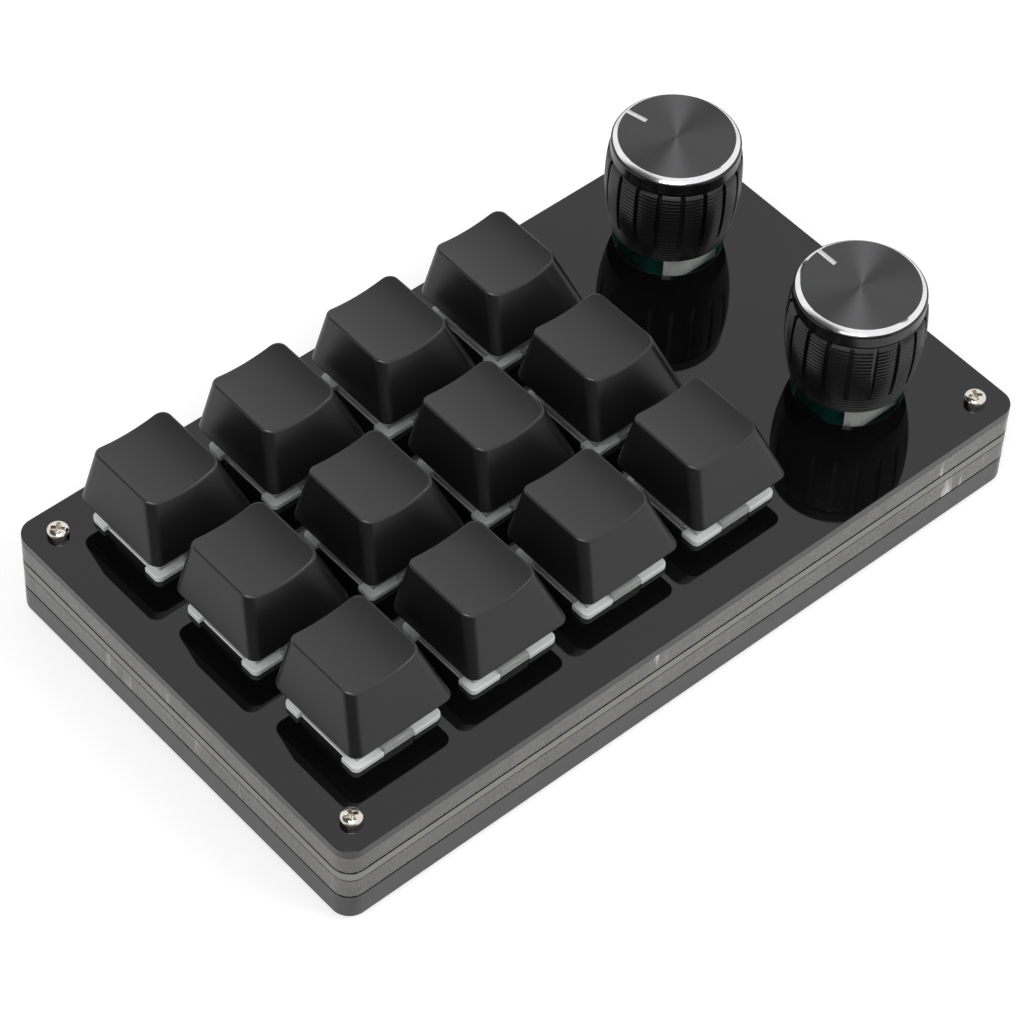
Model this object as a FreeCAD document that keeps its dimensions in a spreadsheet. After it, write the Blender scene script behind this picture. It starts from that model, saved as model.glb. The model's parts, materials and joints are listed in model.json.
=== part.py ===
import FreeCAD, Part
import math
import os
import Sketcher

# Macro keypad with two knobs: twelve sprung keys and two rotary encoders in a layered case.
# X runs along the length, Y from the user's side to the back, Z up from the surface it stands on.
# All sizes are in millimetres.

SIZES = [
    # Case layers, from the surface up
    ("case_length", 128.7),
    ("case_depth", 74.5),
    ("case_corner", 3.0),
    ("foot_height", 1.0),
    ("foot_radius", 4.5),
    ("foot_inset", 9.5),
    ("bottom_thick", 4.5),
    ("lower_thick", 3.9),
    ("board_thick", 1.6),
    ("upper_thick", 3.5),
    ("deck_thick", 1.5),
    ("frame_wall", 4.0),
    ("corner_block", 8.6),
    # Case screws and the threaded inserts that they grip
    ("screw_inset", 4.65),
    ("screw_radius", 1.0),
    ("screw_head_radius", 1.75),
    ("screw_head_height", 1.35),
    ("screw_recess_width", 0.42),
    ("screw_recess_length", 2.1),
    ("screw_recess_depth", 0.8),
    ("screw_hole_gap", 0.15),
    ("thread_gap", 0.03),
    ("screw_tip_gap", 0.5),
    ("insert_radius", 1.7),
    ("insert_length", 3.0),
    ("insert_gap", 0.02),
    # Key layout
    ("key_margin_left", 17.63),
    ("key_margin_back", 13.28),
    ("key_pitch_x", 21.0),
    ("key_pitch_y", 21.7),
    ("key_travel", 3.6),
    ("travel_gap", 0.3),
    # Switch housing
    ("switch_side", 13.9),
    ("switch_cutout_gap", 0.05),
    ("switch_wall", 1.0),
    ("switch_floor", 1.0),
    ("flange_side", 15.6),
    ("flange_thick", 1.0),
    ("flange_notch_long", 9.4),
    ("flange_notch_short", 5.4),
    ("flange_notch_depth", 0.6),
    ("tab_gap", 0.1),
    ("ledge_thick", 0.5),
    ("housing_base_side", 13.4),
    ("housing_top_width", 10.8),
    ("housing_top_depth", 8.8),
    ("housing_height", 5.6),
    ("housing_wall", 0.8),
    ("housing_roof", 1.0),
    ("post_radius", 2.0),
    ("post_length", 3.0),
    ("post_gap", 0.05),
    ("pin_radius", 0.5),
    ("pin_length", 2.8),
    ("pin_gap", 0.25),
    ("pin_one_x", -3.81),
    ("pin_one_y", 2.54),
    ("pin_two_x", 2.54),
    ("pin_two_y", 5.08),
    # Key slider and spring
    ("slider_width", 6.9),
    ("slider_depth", 5.9),
    ("slider_gap", 0.15),
    ("slider_length", 6.4),
    ("shoulder_width", 8.4),
    ("shoulder_gap", 0.2),
    ("shoulder_height", 1.6),
    ("cross_length", 4.0),
    ("cross_width", 1.2),
    ("cross_gap", 0.03),
    ("spring_radius", 2.2),
    ("spring_wire", 0.4),
    ("spring_bore_gap", 0.15),
    ("spring_bore_roof", 3.0),
    ("guide_radius", 1.5),
    ("guide_height", 3.0),
    # Keycap
    ("cap_side", 18.1),
    ("cap_wall", 1.2),
    ("cap_top_width", 12.8),
    ("cap_top_depth", 13.2),
    ("cap_top_shift", 2.1),
    ("cap_corner", 1.7),
    ("cap_inner_corner", 0.8),
    ("cap_edge", 0.3),
    ("cap_roof", 1.6),
    ("dish_depth", 0.9),
    ("dish_margin", 0.15),
    ("ceiling_gap", 0.5),
    ("stem_post_radius", 2.75),
    ("stem_post_sink", 0.4),
    # Encoders
    ("knob_margin_right", 16.87),
    ("knob_margin_back", 16.1),
    ("knob_pitch", 39.3),
    ("knob_hole_radius", 8.4),
    ("knob_one_turn", 14.0),
    ("knob_two_turn", 0.0),
    ("encoder_width", 11.2),
    ("encoder_depth", 11.6),
    ("encoder_base_height", 2.0),
    ("encoder_cover_height", 5.0),
    ("encoder_wall", 0.5),
    ("encoder_roof", 0.8),
    ("encoder_corner", 0.6),
    ("bush_radius", 3.5),
    ("bush_height", 5.0),
    ("shaft_radius", 3.0),
    ("shaft_gap", 0.05),
    ("shaft_length", 16.0),
    ("shaft_flat", 1.5),
    ("shaft_flat_length", 10.0),
    ("tang_side", 3.1),
    ("tang_gap", 0.05),
    ("tang_well", 1.4),
    ("tang_well_gap", 0.15),
    ("rotor_radius", 4.6),
    ("rotor_thick", 2.0),
    ("rotor_gap", 0.1),
    ("press_travel", 0.5),
    ("press_gap", 0.4),
    ("encoder_pin_radius", 0.4),
    ("encoder_pin_x", 2.5),
    ("encoder_pin_y", 4.8),
    # Knob
    ("knob_lift", 1.8),
    ("knob_roof", 3.2),
    ("knob_grip_radius", 10.35),
    ("knob_grip_bulge", 0.0134),
    ("knob_grip_waist", 9.6),
    ("knob_band_radius", 9.8),
    ("knob_band_height", 2.2),
    ("knob_ring_radius", 9.5),
    ("knob_disc_radius", 8.85),
    ("knob_ring_height", 0.65),
    ("knob_band_edge", 0.3),
    ("knob_neck_radius", 9.3),
    ("knob_neck_height", 0.3),
    ("knob_lip", 0.4),
    ("knob_slot_radius", 9.7),
    ("knob_slot_width", 0.7),
    ("knob_slot_foot", 1.0),
    ("ridge_depth", 0.16),
    ("knob_well_radius", 6.5),
    ("knob_well_height", 5.2),
    ("knob_bore_gap", 0.03),
    ("pointer_inner", 5.4),
    ("pointer_width", 0.95),
    ("pointer_depth", 0.25),
    ("grub_radius", 1.5),
    ("grub_gap", 0.02),
    ("grub_length", 5.0),
    ("grub_height", 9.4),
    ("grub_socket_radius", 0.85),
    ("grub_socket_depth", 1.6),
    # Charging and data socket
    ("port_margin_right", 32.45),
    ("port_width", 8.9),
    ("port_height", 3.2),
    ("port_length", 7.3),
    ("port_corner", 1.3),
    ("port_wall", 0.3),
    ("port_setback", 0.2),
    ("port_floor", 1.0),
    ("port_tongue_width", 6.7),
    ("port_tongue_thick", 0.7),
    ("port_tongue_gap", 1.2),
    ("port_notch_gap", 0.3),
    # Small parts under the board
    ("chip_side", 7.0),
    ("chip_thick", 0.9),
    ("diode_length", 2.7),
    ("diode_width", 1.6),
    ("diode_thick", 1.1),
    ("diode_offset", 8.6),
    ("crystal_length", 3.2),
    ("crystal_width", 2.5),
    ("chip_part_gap", 2.0),
]

KEY_COLUMNS = 4
KEY_ROWS = 3
KNOB_SLOTS = 18
KNOB_RIDGES = 16
SMALL = 0.001
LONG = 60.0
OVERSHOOT = 1.0
DIAGONAL = math.sqrt(2)
HEX_SIDES = 6
# Where each ridge of the grip drops into its notch, as a share of the pitch
RIDGE_NOTCH = 0.75

doc = FreeCAD.newDocument("MacroKeypad")
sub_parts = []
cuts_to_check = []


class Size:
    """A length that keeps the sheet expression it is worked out from."""

    def __init__(self, value, text):
        self.value = float(value)
        self.text = text

    def __add__(self, other):
        other = as_size(other)
        return Size(self.value + other.value, "(" + self.text + " + " + other.text + ")")

    def __sub__(self, other):
        other = as_size(other)
        return Size(self.value - other.value, "(" + self.text + " - " + other.text + ")")

    def __mul__(self, other):
        other = as_size(other)
        return Size(self.value * other.value, "(" + self.text + " * " + other.text + ")")

    def __truediv__(self, other):
        other = as_size(other)
        return Size(self.value / other.value, "(" + self.text + " / " + other.text + ")")

    def __radd__(self, other):
        return as_size(other) + self

    def __rsub__(self, other):
        return as_size(other) - self

    def __rmul__(self, other):
        return as_size(other) * self

    def __neg__(self):
        return as_size(0) - self


def as_size(number):
    if isinstance(number, Size):
        return number
    return Size(number, "(" + format(float(number), ".6f") + ")")


def make_sheet():
    """Write every driving size to the sheet and return them by name."""
    sheet = doc.addObject("Spreadsheet::Sheet", "Sizes")
    named = {}
    for row, (alias, value) in enumerate(SIZES, start=1):
        sheet.set("A" + str(row), alias)
        sheet.set("B" + str(row), str(value))
        sheet.setAlias("B" + str(row), alias)
        named[alias] = Size(value, "Sizes." + alias)
    doc.recompute()
    return named


S = make_sheet()


def bind(item, property_name, size):
    item.setExpression(property_name, as_size(size).text)


def place(item, x, y, z):
    bind(item, "Placement.Base.x", x)
    bind(item, "Placement.Base.y", y)
    bind(item, "Placement.Base.z", z)
    return item


def turn_about_z(item, angle):
    """Turn an object about its own Z axis by an angle from the sheet."""
    item.Placement.Rotation = FreeCAD.Rotation(FreeCAD.Vector(0, 0, 1), as_size(angle).value)
    bind(item, "Placement.Rotation.Angle", angle)
    return item


def sub_part(item, name):
    """Name an object as one piece of the assembly, to be written to its own file."""
    item.Label = name
    sub_parts.append(item)
    return item


# Solid primitives

def box(name, width, depth, height, x, y, z):
    """A block centred on x and y that stands on z."""
    item = doc.addObject("Part::Box", name)
    bind(item, "Length", width)
    bind(item, "Width", depth)
    bind(item, "Height", height)
    return place(item, x - as_size(width) / 2, y - as_size(depth) / 2, z)


def cylinder(name, radius, height, x, y, z):
    item = doc.addObject("Part::Cylinder", name)
    bind(item, "Radius", radius)
    bind(item, "Height", height)
    return place(item, x, y, z)


def prism(name, sides, radius, height, x, y, z):
    item = doc.addObject("Part::Prism", name)
    item.Polygon = sides
    bind(item, "Circumradius", radius)
    bind(item, "Height", height)
    return place(item, x, y, z)


def wedge(name, base_width, base_depth, top_width, top_depth, height, x, y, z):
    """A block that narrows evenly from its foot to its top, centred on x and y."""
    item = doc.addObject("Part::Wedge", name)
    # The wedge's own Y axis is its height, so it is turned up about X
    bind(item, "Xmin", -as_size(base_width) / 2)
    bind(item, "Xmax", as_size(base_width) / 2)
    bind(item, "Zmin", -as_size(base_depth) / 2)
    bind(item, "Zmax", as_size(base_depth) / 2)
    bind(item, "X2min", -as_size(top_width) / 2)
    bind(item, "X2max", as_size(top_width) / 2)
    bind(item, "Z2min", -as_size(top_depth) / 2)
    bind(item, "Z2max", as_size(top_depth) / 2)
    item.Ymin = 0
    bind(item, "Ymax", height)
    item.Placement.Rotation = FreeCAD.Rotation(FreeCAD.Vector(1, 0, 0), 90)
    return place(item, x, y, z)


def fuse(name, items):
    item = doc.addObject("Part::MultiFuse", name)
    item.Shapes = items
    return item


def cut(name, base, tools):
    """Take the tools away from the base, and note the pair for the volume check."""
    item = doc.addObject("Part::Cut", name)
    item.Base = base
    item.Tool = tools[0] if len(tools) == 1 else fuse(name + "_tools", tools)
    cuts_to_check.append((item, base))
    return item


def group(name, items):
    """Separate solids that share one file."""
    item = doc.addObject("Part::Compound", name)
    item.Links = items
    return sub_part(item, name)


# Bodies made from sketches

def new_body(name):
    body = doc.addObject("PartDesign::Body", name)
    return sub_part(body, name)


def origin_plane(body, role):
    for feature in body.Origin.OriginFeatures:
        if feature.Role == role:
            return feature
    raise RuntimeError("no plane " + role)


def new_sketch(body, name, role, offset):
    sketch = body.newObject("Sketcher::SketchObject", name)
    sketch.AttachmentSupport = [(origin_plane(body, role), "")]
    sketch.MapMode = "FlatFace"
    bind(sketch, "AttachmentOffset.Base.z", offset)
    return sketch


def pin_point(sketch, curve, end, x, y):
    """Tie a point of a curve to the sketch origin by two bound distances."""
    across = sketch.addConstraint(Sketcher.Constraint("DistanceX", -1, 1, curve, end, as_size(x).value))
    sketch.setExpression("Constraints[" + str(across) + "]", as_size(x).text)
    along = sketch.addConstraint(Sketcher.Constraint("DistanceY", -1, 1, curve, end, as_size(y).value))
    sketch.setExpression("Constraints[" + str(along) + "]", as_size(y).text)


def add_polygon(sketch, points):
    """A closed outline of straight lines through the points."""
    corners = [FreeCAD.Vector(as_size(x).value, as_size(y).value, 0) for x, y in points]
    count = len(corners)
    first = sketch.GeometryCount
    for number in range(count):
        sketch.addGeometry(Part.LineSegment(corners[number], corners[(number + 1) % count]), False)
    for number in range(count):
        following = first + (number + 1) % count
        sketch.addConstraint(Sketcher.Constraint("Coincident", first + number, 2, following, 1))
    for number, (x, y) in enumerate(points):
        pin_point(sketch, first + number, 1, x, y)


def add_rectangle(sketch, x, y, width, depth):
    half_width = as_size(width) / 2
    half_depth = as_size(depth) / 2
    add_polygon(sketch, [
        (x - half_width, y - half_depth),
        (x + half_width, y - half_depth),
        (x + half_width, y + half_depth),
        (x - half_width, y + half_depth),
    ])


def add_rounded_rectangle(sketch, y, width, depth, radius):
    """A rectangle centred on x = 0 whose corners are quarter arcs."""
    far_x = as_size(width) / 2
    near_x = far_x - radius
    low_y = y - as_size(depth) / 2
    high_y = y + as_size(depth) / 2
    sides = [
        ((-near_x, low_y), (near_x, low_y)),
        ((far_x, low_y + radius), (far_x, high_y - radius)),
        ((near_x, high_y), (-near_x, high_y)),
        ((-far_x, high_y - radius), (-far_x, low_y + radius)),
    ]
    centres = [
        (near_x, low_y + radius), (near_x, high_y - radius),
        (-near_x, high_y - radius), (-near_x, low_y + radius),
    ]
    first = sketch.GeometryCount
    for start, end in sides:
        start_point = FreeCAD.Vector(start[0].value, start[1].value, 0)
        end_point = FreeCAD.Vector(end[0].value, end[1].value, 0)
        sketch.addGeometry(Part.LineSegment(start_point, end_point), False)
    for number, (start, end) in enumerate(sides):
        pin_point(sketch, first + number, 1, start[0], start[1])
        pin_point(sketch, first + number, 2, end[0], end[1])
    quarter = math.pi / 2
    for number, (centre_x, centre_y) in enumerate(centres):
        centre = FreeCAD.Vector(centre_x.value, centre_y.value, 0)
        circle = Part.Circle(centre, FreeCAD.Vector(0, 0, 1), radius.value)
        arc = Part.ArcOfCircle(circle, quarter * (number - 1), quarter * number)
        curve = sketch.addGeometry(arc, False)
        following = first + (number + 1) % len(sides)
        sketch.addConstraint(Sketcher.Constraint("Coincident", first + number, 2, curve, 1))
        sketch.addConstraint(Sketcher.Constraint("Coincident", curve, 2, following, 1))
        limit = sketch.addConstraint(Sketcher.Constraint("Radius", curve, radius.value))
        sketch.setExpression("Constraints[" + str(limit) + "]", radius.text)


def add_circle(sketch, x, y, radius):
    centre = FreeCAD.Vector(as_size(x).value, as_size(y).value, 0)
    curve = sketch.addGeometry(Part.Circle(centre, FreeCAD.Vector(0, 0, 1), as_size(radius).value), False)
    number = sketch.addConstraint(Sketcher.Constraint("Radius", curve, as_size(radius).value))
    sketch.setExpression("Constraints[" + str(number) + "]", as_size(radius).text)
    pin_point(sketch, curve, 3, x, y)


def pad(body, sketch, length):
    feature = body.newObject("PartDesign::Pad", sketch.Name + "_pad")
    feature.Profile = sketch
    bind(feature, "Length", length)
    return feature


def pocket(body, sketch, depth):
    """Cut downwards from the sketch's plane."""
    before = body.Tip
    feature = body.newObject("PartDesign::Pocket", sketch.Name + "_pocket")
    feature.Profile = sketch
    bind(feature, "Length", depth)
    cuts_to_check.append((feature, before))
    return feature


def fillet(body, edges, radius):
    """Round the named edges of the body's last feature."""
    before = body.Tip
    feature = body.newObject("PartDesign::Fillet", body.Name + "_fillet")
    feature.Base = (before, edges)
    bind(feature, "Radius", radius)
    return feature


def edges_along(shape, axis, test=None):
    """Names of the straight edges that run along an axis (0, 1 or 2)."""
    names = []
    for number, edge in enumerate(shape.Edges, start=1):
        if not isinstance(edge.Curve, Part.Line):
            continue
        direction = edge.Curve.Direction
        if abs(abs(direction[axis]) - 1.0) > SMALL:
            continue
        if test is None or test(edge):
            names.append("Edge" + str(number))
    return names


# Levels and places that several pieces share

bottom_level = S["foot_height"]
lower_level = bottom_level + S["bottom_thick"]
board_level = lower_level + S["lower_thick"]
upper_level = board_level + S["board_thick"]
deck_level = upper_level + S["upper_thick"]
deck_top = deck_level + S["deck_thick"]

flange_top = deck_top + S["flange_thick"]
housing_top = flange_top + S["housing_height"]
cap_bottom = flange_top + S["key_travel"] + S["travel_gap"]
cross_top = housing_top + S["key_travel"]
cap_ceiling = cross_top + S["ceiling_gap"]
cap_top = cap_ceiling + S["cap_roof"] + S["dish_depth"]
slider_bottom = housing_top - S["slider_length"]
spring_top = housing_top - S["spring_bore_roof"]
switch_floor_level = upper_level + S["switch_floor"]
post_hole_radius = S["post_radius"] + S["post_gap"]

encoder_base_top = upper_level + S["encoder_base_height"]
cover_top = encoder_base_top + S["encoder_cover_height"]
rotor_bottom = encoder_base_top + S["rotor_gap"]
rotor_top = rotor_bottom + S["rotor_thick"]
tang_top = rotor_top + S["press_travel"] + S["press_gap"]
tang_bottom = encoder_base_top - S["tang_well"] + S["press_travel"] + S["press_gap"]
shaft_top = cover_top + S["shaft_length"]
knob_bottom = cover_top + S["knob_lift"]
knob_height = shaft_top + S["knob_roof"] - knob_bottom


def key_places():
    """Number, x and y of every key, row by row from the back left."""
    places = []
    for row in range(KEY_ROWS):
        for column in range(KEY_COLUMNS):
            number = row * KEY_COLUMNS + column + 1
            x = S["key_margin_left"] - S["case_length"] / 2 + S["key_pitch_x"] * column
            y = S["case_depth"] / 2 - S["key_margin_back"] - S["key_pitch_y"] * row
            places.append((format(number, "02d"), x, y))
    return places


def knob_places():
    x = S["case_length"] / 2 - S["knob_margin_right"]
    back = S["case_depth"] / 2 - S["knob_margin_back"]
    return [
        ("1", x, back, S["knob_one_turn"]),
        ("2", x, back - S["knob_pitch"], S["knob_two_turn"]),
    ]


def corner_places(inset):
    """The four corners of the case, drawn in by the inset."""
    x = S["case_length"] / 2 - inset
    y = S["case_depth"] / 2 - inset
    return [(-x, -y), (x, -y), (x, y), (-x, y)]


KEYS = key_places()
KNOBS = knob_places()


# Case layers

def layer(name, level, thickness):
    """One sheet of the stack with the case outline and rounded corners."""
    body = new_body(name)
    outline = new_sketch(body, name + "_outline", "XY_Plane", level)
    add_rectangle(outline, as_size(0), as_size(0), S["case_length"], S["case_depth"])
    pad(body, outline, thickness)
    doc.recompute()
    fillet(body, edges_along(body.Shape, 2), S["case_corner"])
    return body


def drill(body, name, level, depth, circles):
    holes = new_sketch(body, name, "XY_Plane", level)
    for x, y, radius in circles:
        add_circle(holes, x, y, radius)
    pocket(body, holes, depth)


def screw_circles(radius):
    return [(x, y, radius) for x, y in corner_places(S["screw_inset"])]


screw_clear_radius = S["screw_radius"] + S["screw_hole_gap"]


def make_top_plate():
    body = layer("top_plate", deck_level, S["deck_thick"])
    cutouts = new_sketch(body, "key_cutouts", "XY_Plane", deck_top)
    side = S["switch_side"] + S["switch_cutout_gap"] * 2
    for number, x, y in KEYS:
        add_rectangle(cutouts, x, y, side, side)
    pocket(body, cutouts, S["deck_thick"])
    knob_circles = [(x, y, S["knob_hole_radius"]) for number, x, y, turn in KNOBS]
    circles = knob_circles + screw_circles(screw_clear_radius)
    drill(body, "deck_holes", deck_top, S["deck_thick"], circles)


def frame_window(body, name, level, thickness):
    """Clear the middle of a frame but keep a block round each screw."""
    wall_x = S["case_length"] / 2 - S["frame_wall"]
    wall_y = S["case_depth"] / 2 - S["frame_wall"]
    block_x = S["case_length"] / 2 - S["corner_block"]
    block_y = S["case_depth"] / 2 - S["corner_block"]
    window = new_sketch(body, name, "XY_Plane", level + thickness)
    add_polygon(window, [
        (-wall_x, -block_y), (-block_x, -block_y), (-block_x, -wall_y),
        (block_x, -wall_y), (block_x, -block_y), (wall_x, -block_y),
        (wall_x, block_y), (block_x, block_y), (block_x, wall_y),
        (-block_x, wall_y), (-block_x, block_y), (-wall_x, block_y),
    ])
    pocket(body, window, thickness)


def make_upper_frame():
    body = layer("upper_frame", upper_level, S["upper_thick"])
    frame_window(body, "upper_window", upper_level, S["upper_thick"])
    drill(body, "upper_holes", deck_level, S["upper_thick"], screw_circles(screw_clear_radius))
    notch = new_sketch(body, "port_notch", "XY_Plane", deck_level)
    notch_width = S["port_width"] + S["port_notch_gap"] * 2
    notch_depth = (S["frame_wall"] + S["port_notch_gap"]) * 2
    add_rectangle(notch, PORT_X, S["case_depth"] / 2, notch_width, notch_depth)
    pocket(body, notch, S["upper_thick"])


def make_circuit_board():
    body = layer("circuit_board", board_level, S["board_thick"])
    circles = screw_circles(screw_clear_radius)
    pin_hole = S["pin_radius"] + S["pin_gap"]
    for number, x, y in KEYS:
        circles.append((x, y, post_hole_radius))
        circles.append((x + S["pin_one_x"], y + S["pin_one_y"], pin_hole))
        circles.append((x + S["pin_two_x"], y + S["pin_two_y"], pin_hole))
    for x, y in encoder_pin_places():
        circles.append((x, y, S["encoder_pin_radius"] + S["pin_gap"]))
    drill(body, "board_holes", upper_level, S["board_thick"], circles)


def make_lower_frame():
    body = layer("lower_frame", lower_level, S["lower_thick"])
    frame_window(body, "lower_window", lower_level, S["lower_thick"])
    drill(body, "lower_holes", board_level, S["lower_thick"], screw_circles(screw_clear_radius))


def make_bottom_plate():
    body = layer("bottom_plate", bottom_level, S["bottom_thick"])
    circles = screw_circles(S["insert_radius"] + S["insert_gap"])
    drill(body, "insert_seats", lower_level, S["insert_length"], circles)


def make_case_inserts():
    """Knurled threaded sleeves sunk in the bottom plate."""
    sleeves = []
    level = lower_level - S["insert_length"]
    for number, (x, y) in enumerate(corner_places(S["screw_inset"])):
        tag = "insert_" + str(number)
        sleeve = cylinder(tag, S["insert_radius"], S["insert_length"], x, y, level)
        bore = cylinder(tag + "_bore", S["screw_radius"] + S["thread_gap"], LONG, x, y, level - OVERSHOOT)
        sleeves.append(cut(tag + "_sleeve", sleeve, [bore]))
    group("case_inserts", sleeves)


def make_case_screws():
    """Pan-head screws with a cross recess, down through every layer."""
    screws = []
    tip = lower_level - S["insert_length"] + S["screw_tip_gap"]
    for number, (x, y) in enumerate(corner_places(S["screw_inset"])):
        tag = "screw_" + str(number)
        shank = cylinder(tag + "_shank", S["screw_radius"], deck_top - tip, x, y, tip)
        head = cylinder(tag + "_head", S["screw_head_radius"], S["screw_head_height"], x, y, deck_top)
        recess_level = deck_top + S["screw_head_height"] - S["screw_recess_depth"]
        long_arm = S["screw_recess_length"]
        short_arm = S["screw_recess_width"]
        arm_one = box(tag + "_arm_one", long_arm, short_arm, S["screw_recess_depth"], x, y, recess_level)
        arm_two = box(tag + "_arm_two", short_arm, long_arm, S["screw_recess_depth"], x, y, recess_level)
        screws.append(cut(tag, fuse(tag + "_blank", [shank, head]), [arm_one, arm_two]))
    group("case_screws", screws)


def make_rubber_feet():
    feet = []
    for number, (x, y) in enumerate(corner_places(S["foot_inset"])):
        feet.append(cylinder("foot_" + str(number), S["foot_radius"], S["foot_height"], x, y, as_size(0)))
    group("rubber_feet", feet)


# Socket at the back edge, on top of the board

PORT_X = S["case_length"] / 2 - S["port_margin_right"]


def make_usb_port():
    """A rounded metal shell that opens to the back, with a thin contact tongue inside."""
    body = new_body("usb_port")
    outline = new_sketch(body, "port_outline", "XZ_Plane", as_size(0))
    add_rectangle(outline, as_size(0), S["port_height"] / 2, S["port_width"], S["port_height"])
    pad(body, outline, S["port_length"])
    doc.recompute()
    fillet(body, edges_along(body.Shape, 1), S["port_corner"])
    # The sketch's normal is -Y, so the mouth is the near face and the back lies at -length
    mouth = new_sketch(body, "port_mouth", "XZ_Plane", as_size(0))
    inner_width = S["port_width"] - S["port_wall"] * 2
    inner_height = S["port_height"] - S["port_wall"] * 2
    add_rectangle(mouth, as_size(0), S["port_height"] / 2, inner_width - S["port_corner"], inner_height)
    mouth_pocket = pocket(body, mouth, S["port_length"] - S["port_floor"])
    mouth_pocket.Reversed = True
    tongue = new_sketch(body, "port_tongue", "XZ_Plane", S["port_tongue_gap"])
    add_rectangle(tongue, as_size(0), S["port_height"] / 2, S["port_tongue_width"], S["port_tongue_thick"])
    pad(body, tongue, S["port_length"] - S["port_tongue_gap"] - S["port_floor"] / 2)
    place(body, PORT_X, S["case_depth"] / 2 - S["port_setback"], upper_level)


# Key switches, one at each key place

def make_switch_base(number, x, y):
    """White lower housing: a box through the deck, with a flange notched for the clear housing."""
    tag = "base_" + number
    side = S["switch_side"]
    shell = box(tag + "_shell", side, side, deck_top - upper_level, x, y, upper_level)
    flange = box(tag + "_flange", S["flange_side"], S["flange_side"], S["flange_thick"], x, y, deck_top)
    post = cylinder(tag + "_post", S["post_radius"], S["post_length"], x, y, upper_level - S["post_length"])
    blank = fuse(tag + "_blank", [shell, flange, post])
    inner = side - S["switch_wall"] * 2
    cavity = box(tag + "_cavity", inner, inner, LONG, x, y, switch_floor_level)
    tools = [cavity]
    reach = S["flange_side"] / 2
    notch = S["flange_notch_depth"] * 2
    through_wall = S["flange_side"] - inner + S["switch_wall"]
    for side_number, direction in enumerate((-1, 1)):
        label = tag + "_notch_" + str(side_number)
        place_x = x + reach * direction
        place_y = y + reach * direction
        tools.append(box(label + "_x", through_wall, S["flange_notch_long"], LONG, place_x, y, deck_top))
        tools.append(box(label + "_y", S["flange_notch_short"], notch, LONG, x, place_y, deck_top))
    hollow = cut(tag + "_hollow", blank, tools)
    guide = cylinder(tag + "_guide", S["guide_radius"], S["guide_height"], x, y, switch_floor_level)
    return fuse(tag, [hollow, guide])


def make_switch_top(number, x, y):
    """Clear upper housing that narrows upwards, with clips, side skirts and the slider's window."""
    tag = "top_" + number
    foot = S["housing_base_side"]
    width = S["housing_top_width"]
    depth = S["housing_top_depth"]
    outside = wedge(tag + "_outside", foot, foot, width, depth, S["housing_height"], x, y, flange_top)
    tabs = []
    tab_width = S["flange_notch_short"] - S["tab_gap"] * 2
    ledge_outer = S["flange_side"] / 2 - S["tab_gap"]
    ledge_inner = foot / 2 - S["housing_wall"] / 2
    ledge_place = (ledge_outer + ledge_inner) / 2
    notch_floor = S["flange_side"] / 2 - S["flange_notch_depth"]
    clip_thick = S["flange_notch_depth"] - S["tab_gap"] * 2
    clip_place = notch_floor + S["tab_gap"] + clip_thick / 2
    clip_height = S["flange_thick"] - S["tab_gap"]
    clip_level = deck_top + S["tab_gap"]
    skirt_width = S["flange_notch_long"] - S["tab_gap"] * 2
    skirt_place = S["switch_side"] / 2 - S["tab_gap"] - S["housing_wall"] / 2
    for side_number, direction in enumerate((-1, 1)):
        label = tag + "_tab_" + str(side_number)
        ledge_y = y + ledge_place * direction
        ledge = box(label, tab_width, ledge_outer - ledge_inner, S["ledge_thick"], x, ledge_y, flange_top)
        clip_y = y + clip_place * direction
        clip = box(label + "_clip", tab_width, clip_thick, clip_height, x, clip_y, clip_level)
        skirt_x = x + skirt_place * direction
        skirt = box(label + "_skirt", S["housing_wall"], skirt_width, clip_height, skirt_x, y, clip_level)
        tabs.extend([ledge, clip, skirt])
    blank = fuse(tag + "_blank", [outside] + tabs)
    wall = S["housing_wall"] * 2
    inner_height = S["housing_height"] - S["housing_roof"]
    inside = wedge(
        tag + "_inside", foot - wall, foot - wall, width - wall, depth - wall,
        inner_height, x, y, flange_top)
    window_width = S["slider_width"] + S["slider_gap"] * 2
    window_depth = S["slider_depth"] + S["slider_gap"] * 2
    window = box(tag + "_window", window_width, window_depth, LONG, x, y, flange_top)
    return cut(tag, blank, [inside, window])


def make_switch_pins(number, x, y):
    """The two contact legs that go down through the board."""
    level = upper_level - S["pin_length"]
    one = cylinder("pin_one_" + number, S["pin_radius"], S["pin_length"],
                   x + S["pin_one_x"], y + S["pin_one_y"], level)
    two = cylinder("pin_two_" + number, S["pin_radius"], S["pin_length"],
                   x + S["pin_two_x"], y + S["pin_two_y"], level)
    return [one, two]


def make_key_stem(number, x, y):
    """Slider with stop shoulders, a bore for the spring and the cross that holds the cap."""
    tag = "key_stem_" + number
    width = S["slider_width"]
    depth = S["slider_depth"]
    block = box(tag + "_block", width, depth, S["slider_length"], x, y, slider_bottom)
    shoulder_level = housing_top - S["housing_roof"] - S["shoulder_gap"] - S["shoulder_height"]
    shoulder = box(tag + "_shoulder", S["shoulder_width"], depth, S["shoulder_height"], x, y, shoulder_level)
    cross_height = S["key_travel"] + S["cross_width"]
    cross_level = cross_top - cross_height
    arm_one = box(tag + "_arm_one", S["cross_length"], S["cross_width"], cross_height, x, y, cross_level)
    arm_two = box(tag + "_arm_two", S["cross_width"], S["cross_length"], cross_height, x, y, cross_level)
    blank = fuse(tag + "_blank", [block, shoulder, arm_one, arm_two])
    bore_radius = S["spring_radius"] + S["spring_bore_gap"]
    bore_length = spring_top - slider_bottom
    bore = cylinder(tag + "_bore", bore_radius, bore_length, x, y, slider_bottom)
    sub_part(cut(tag, blank, [bore]), tag)


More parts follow.
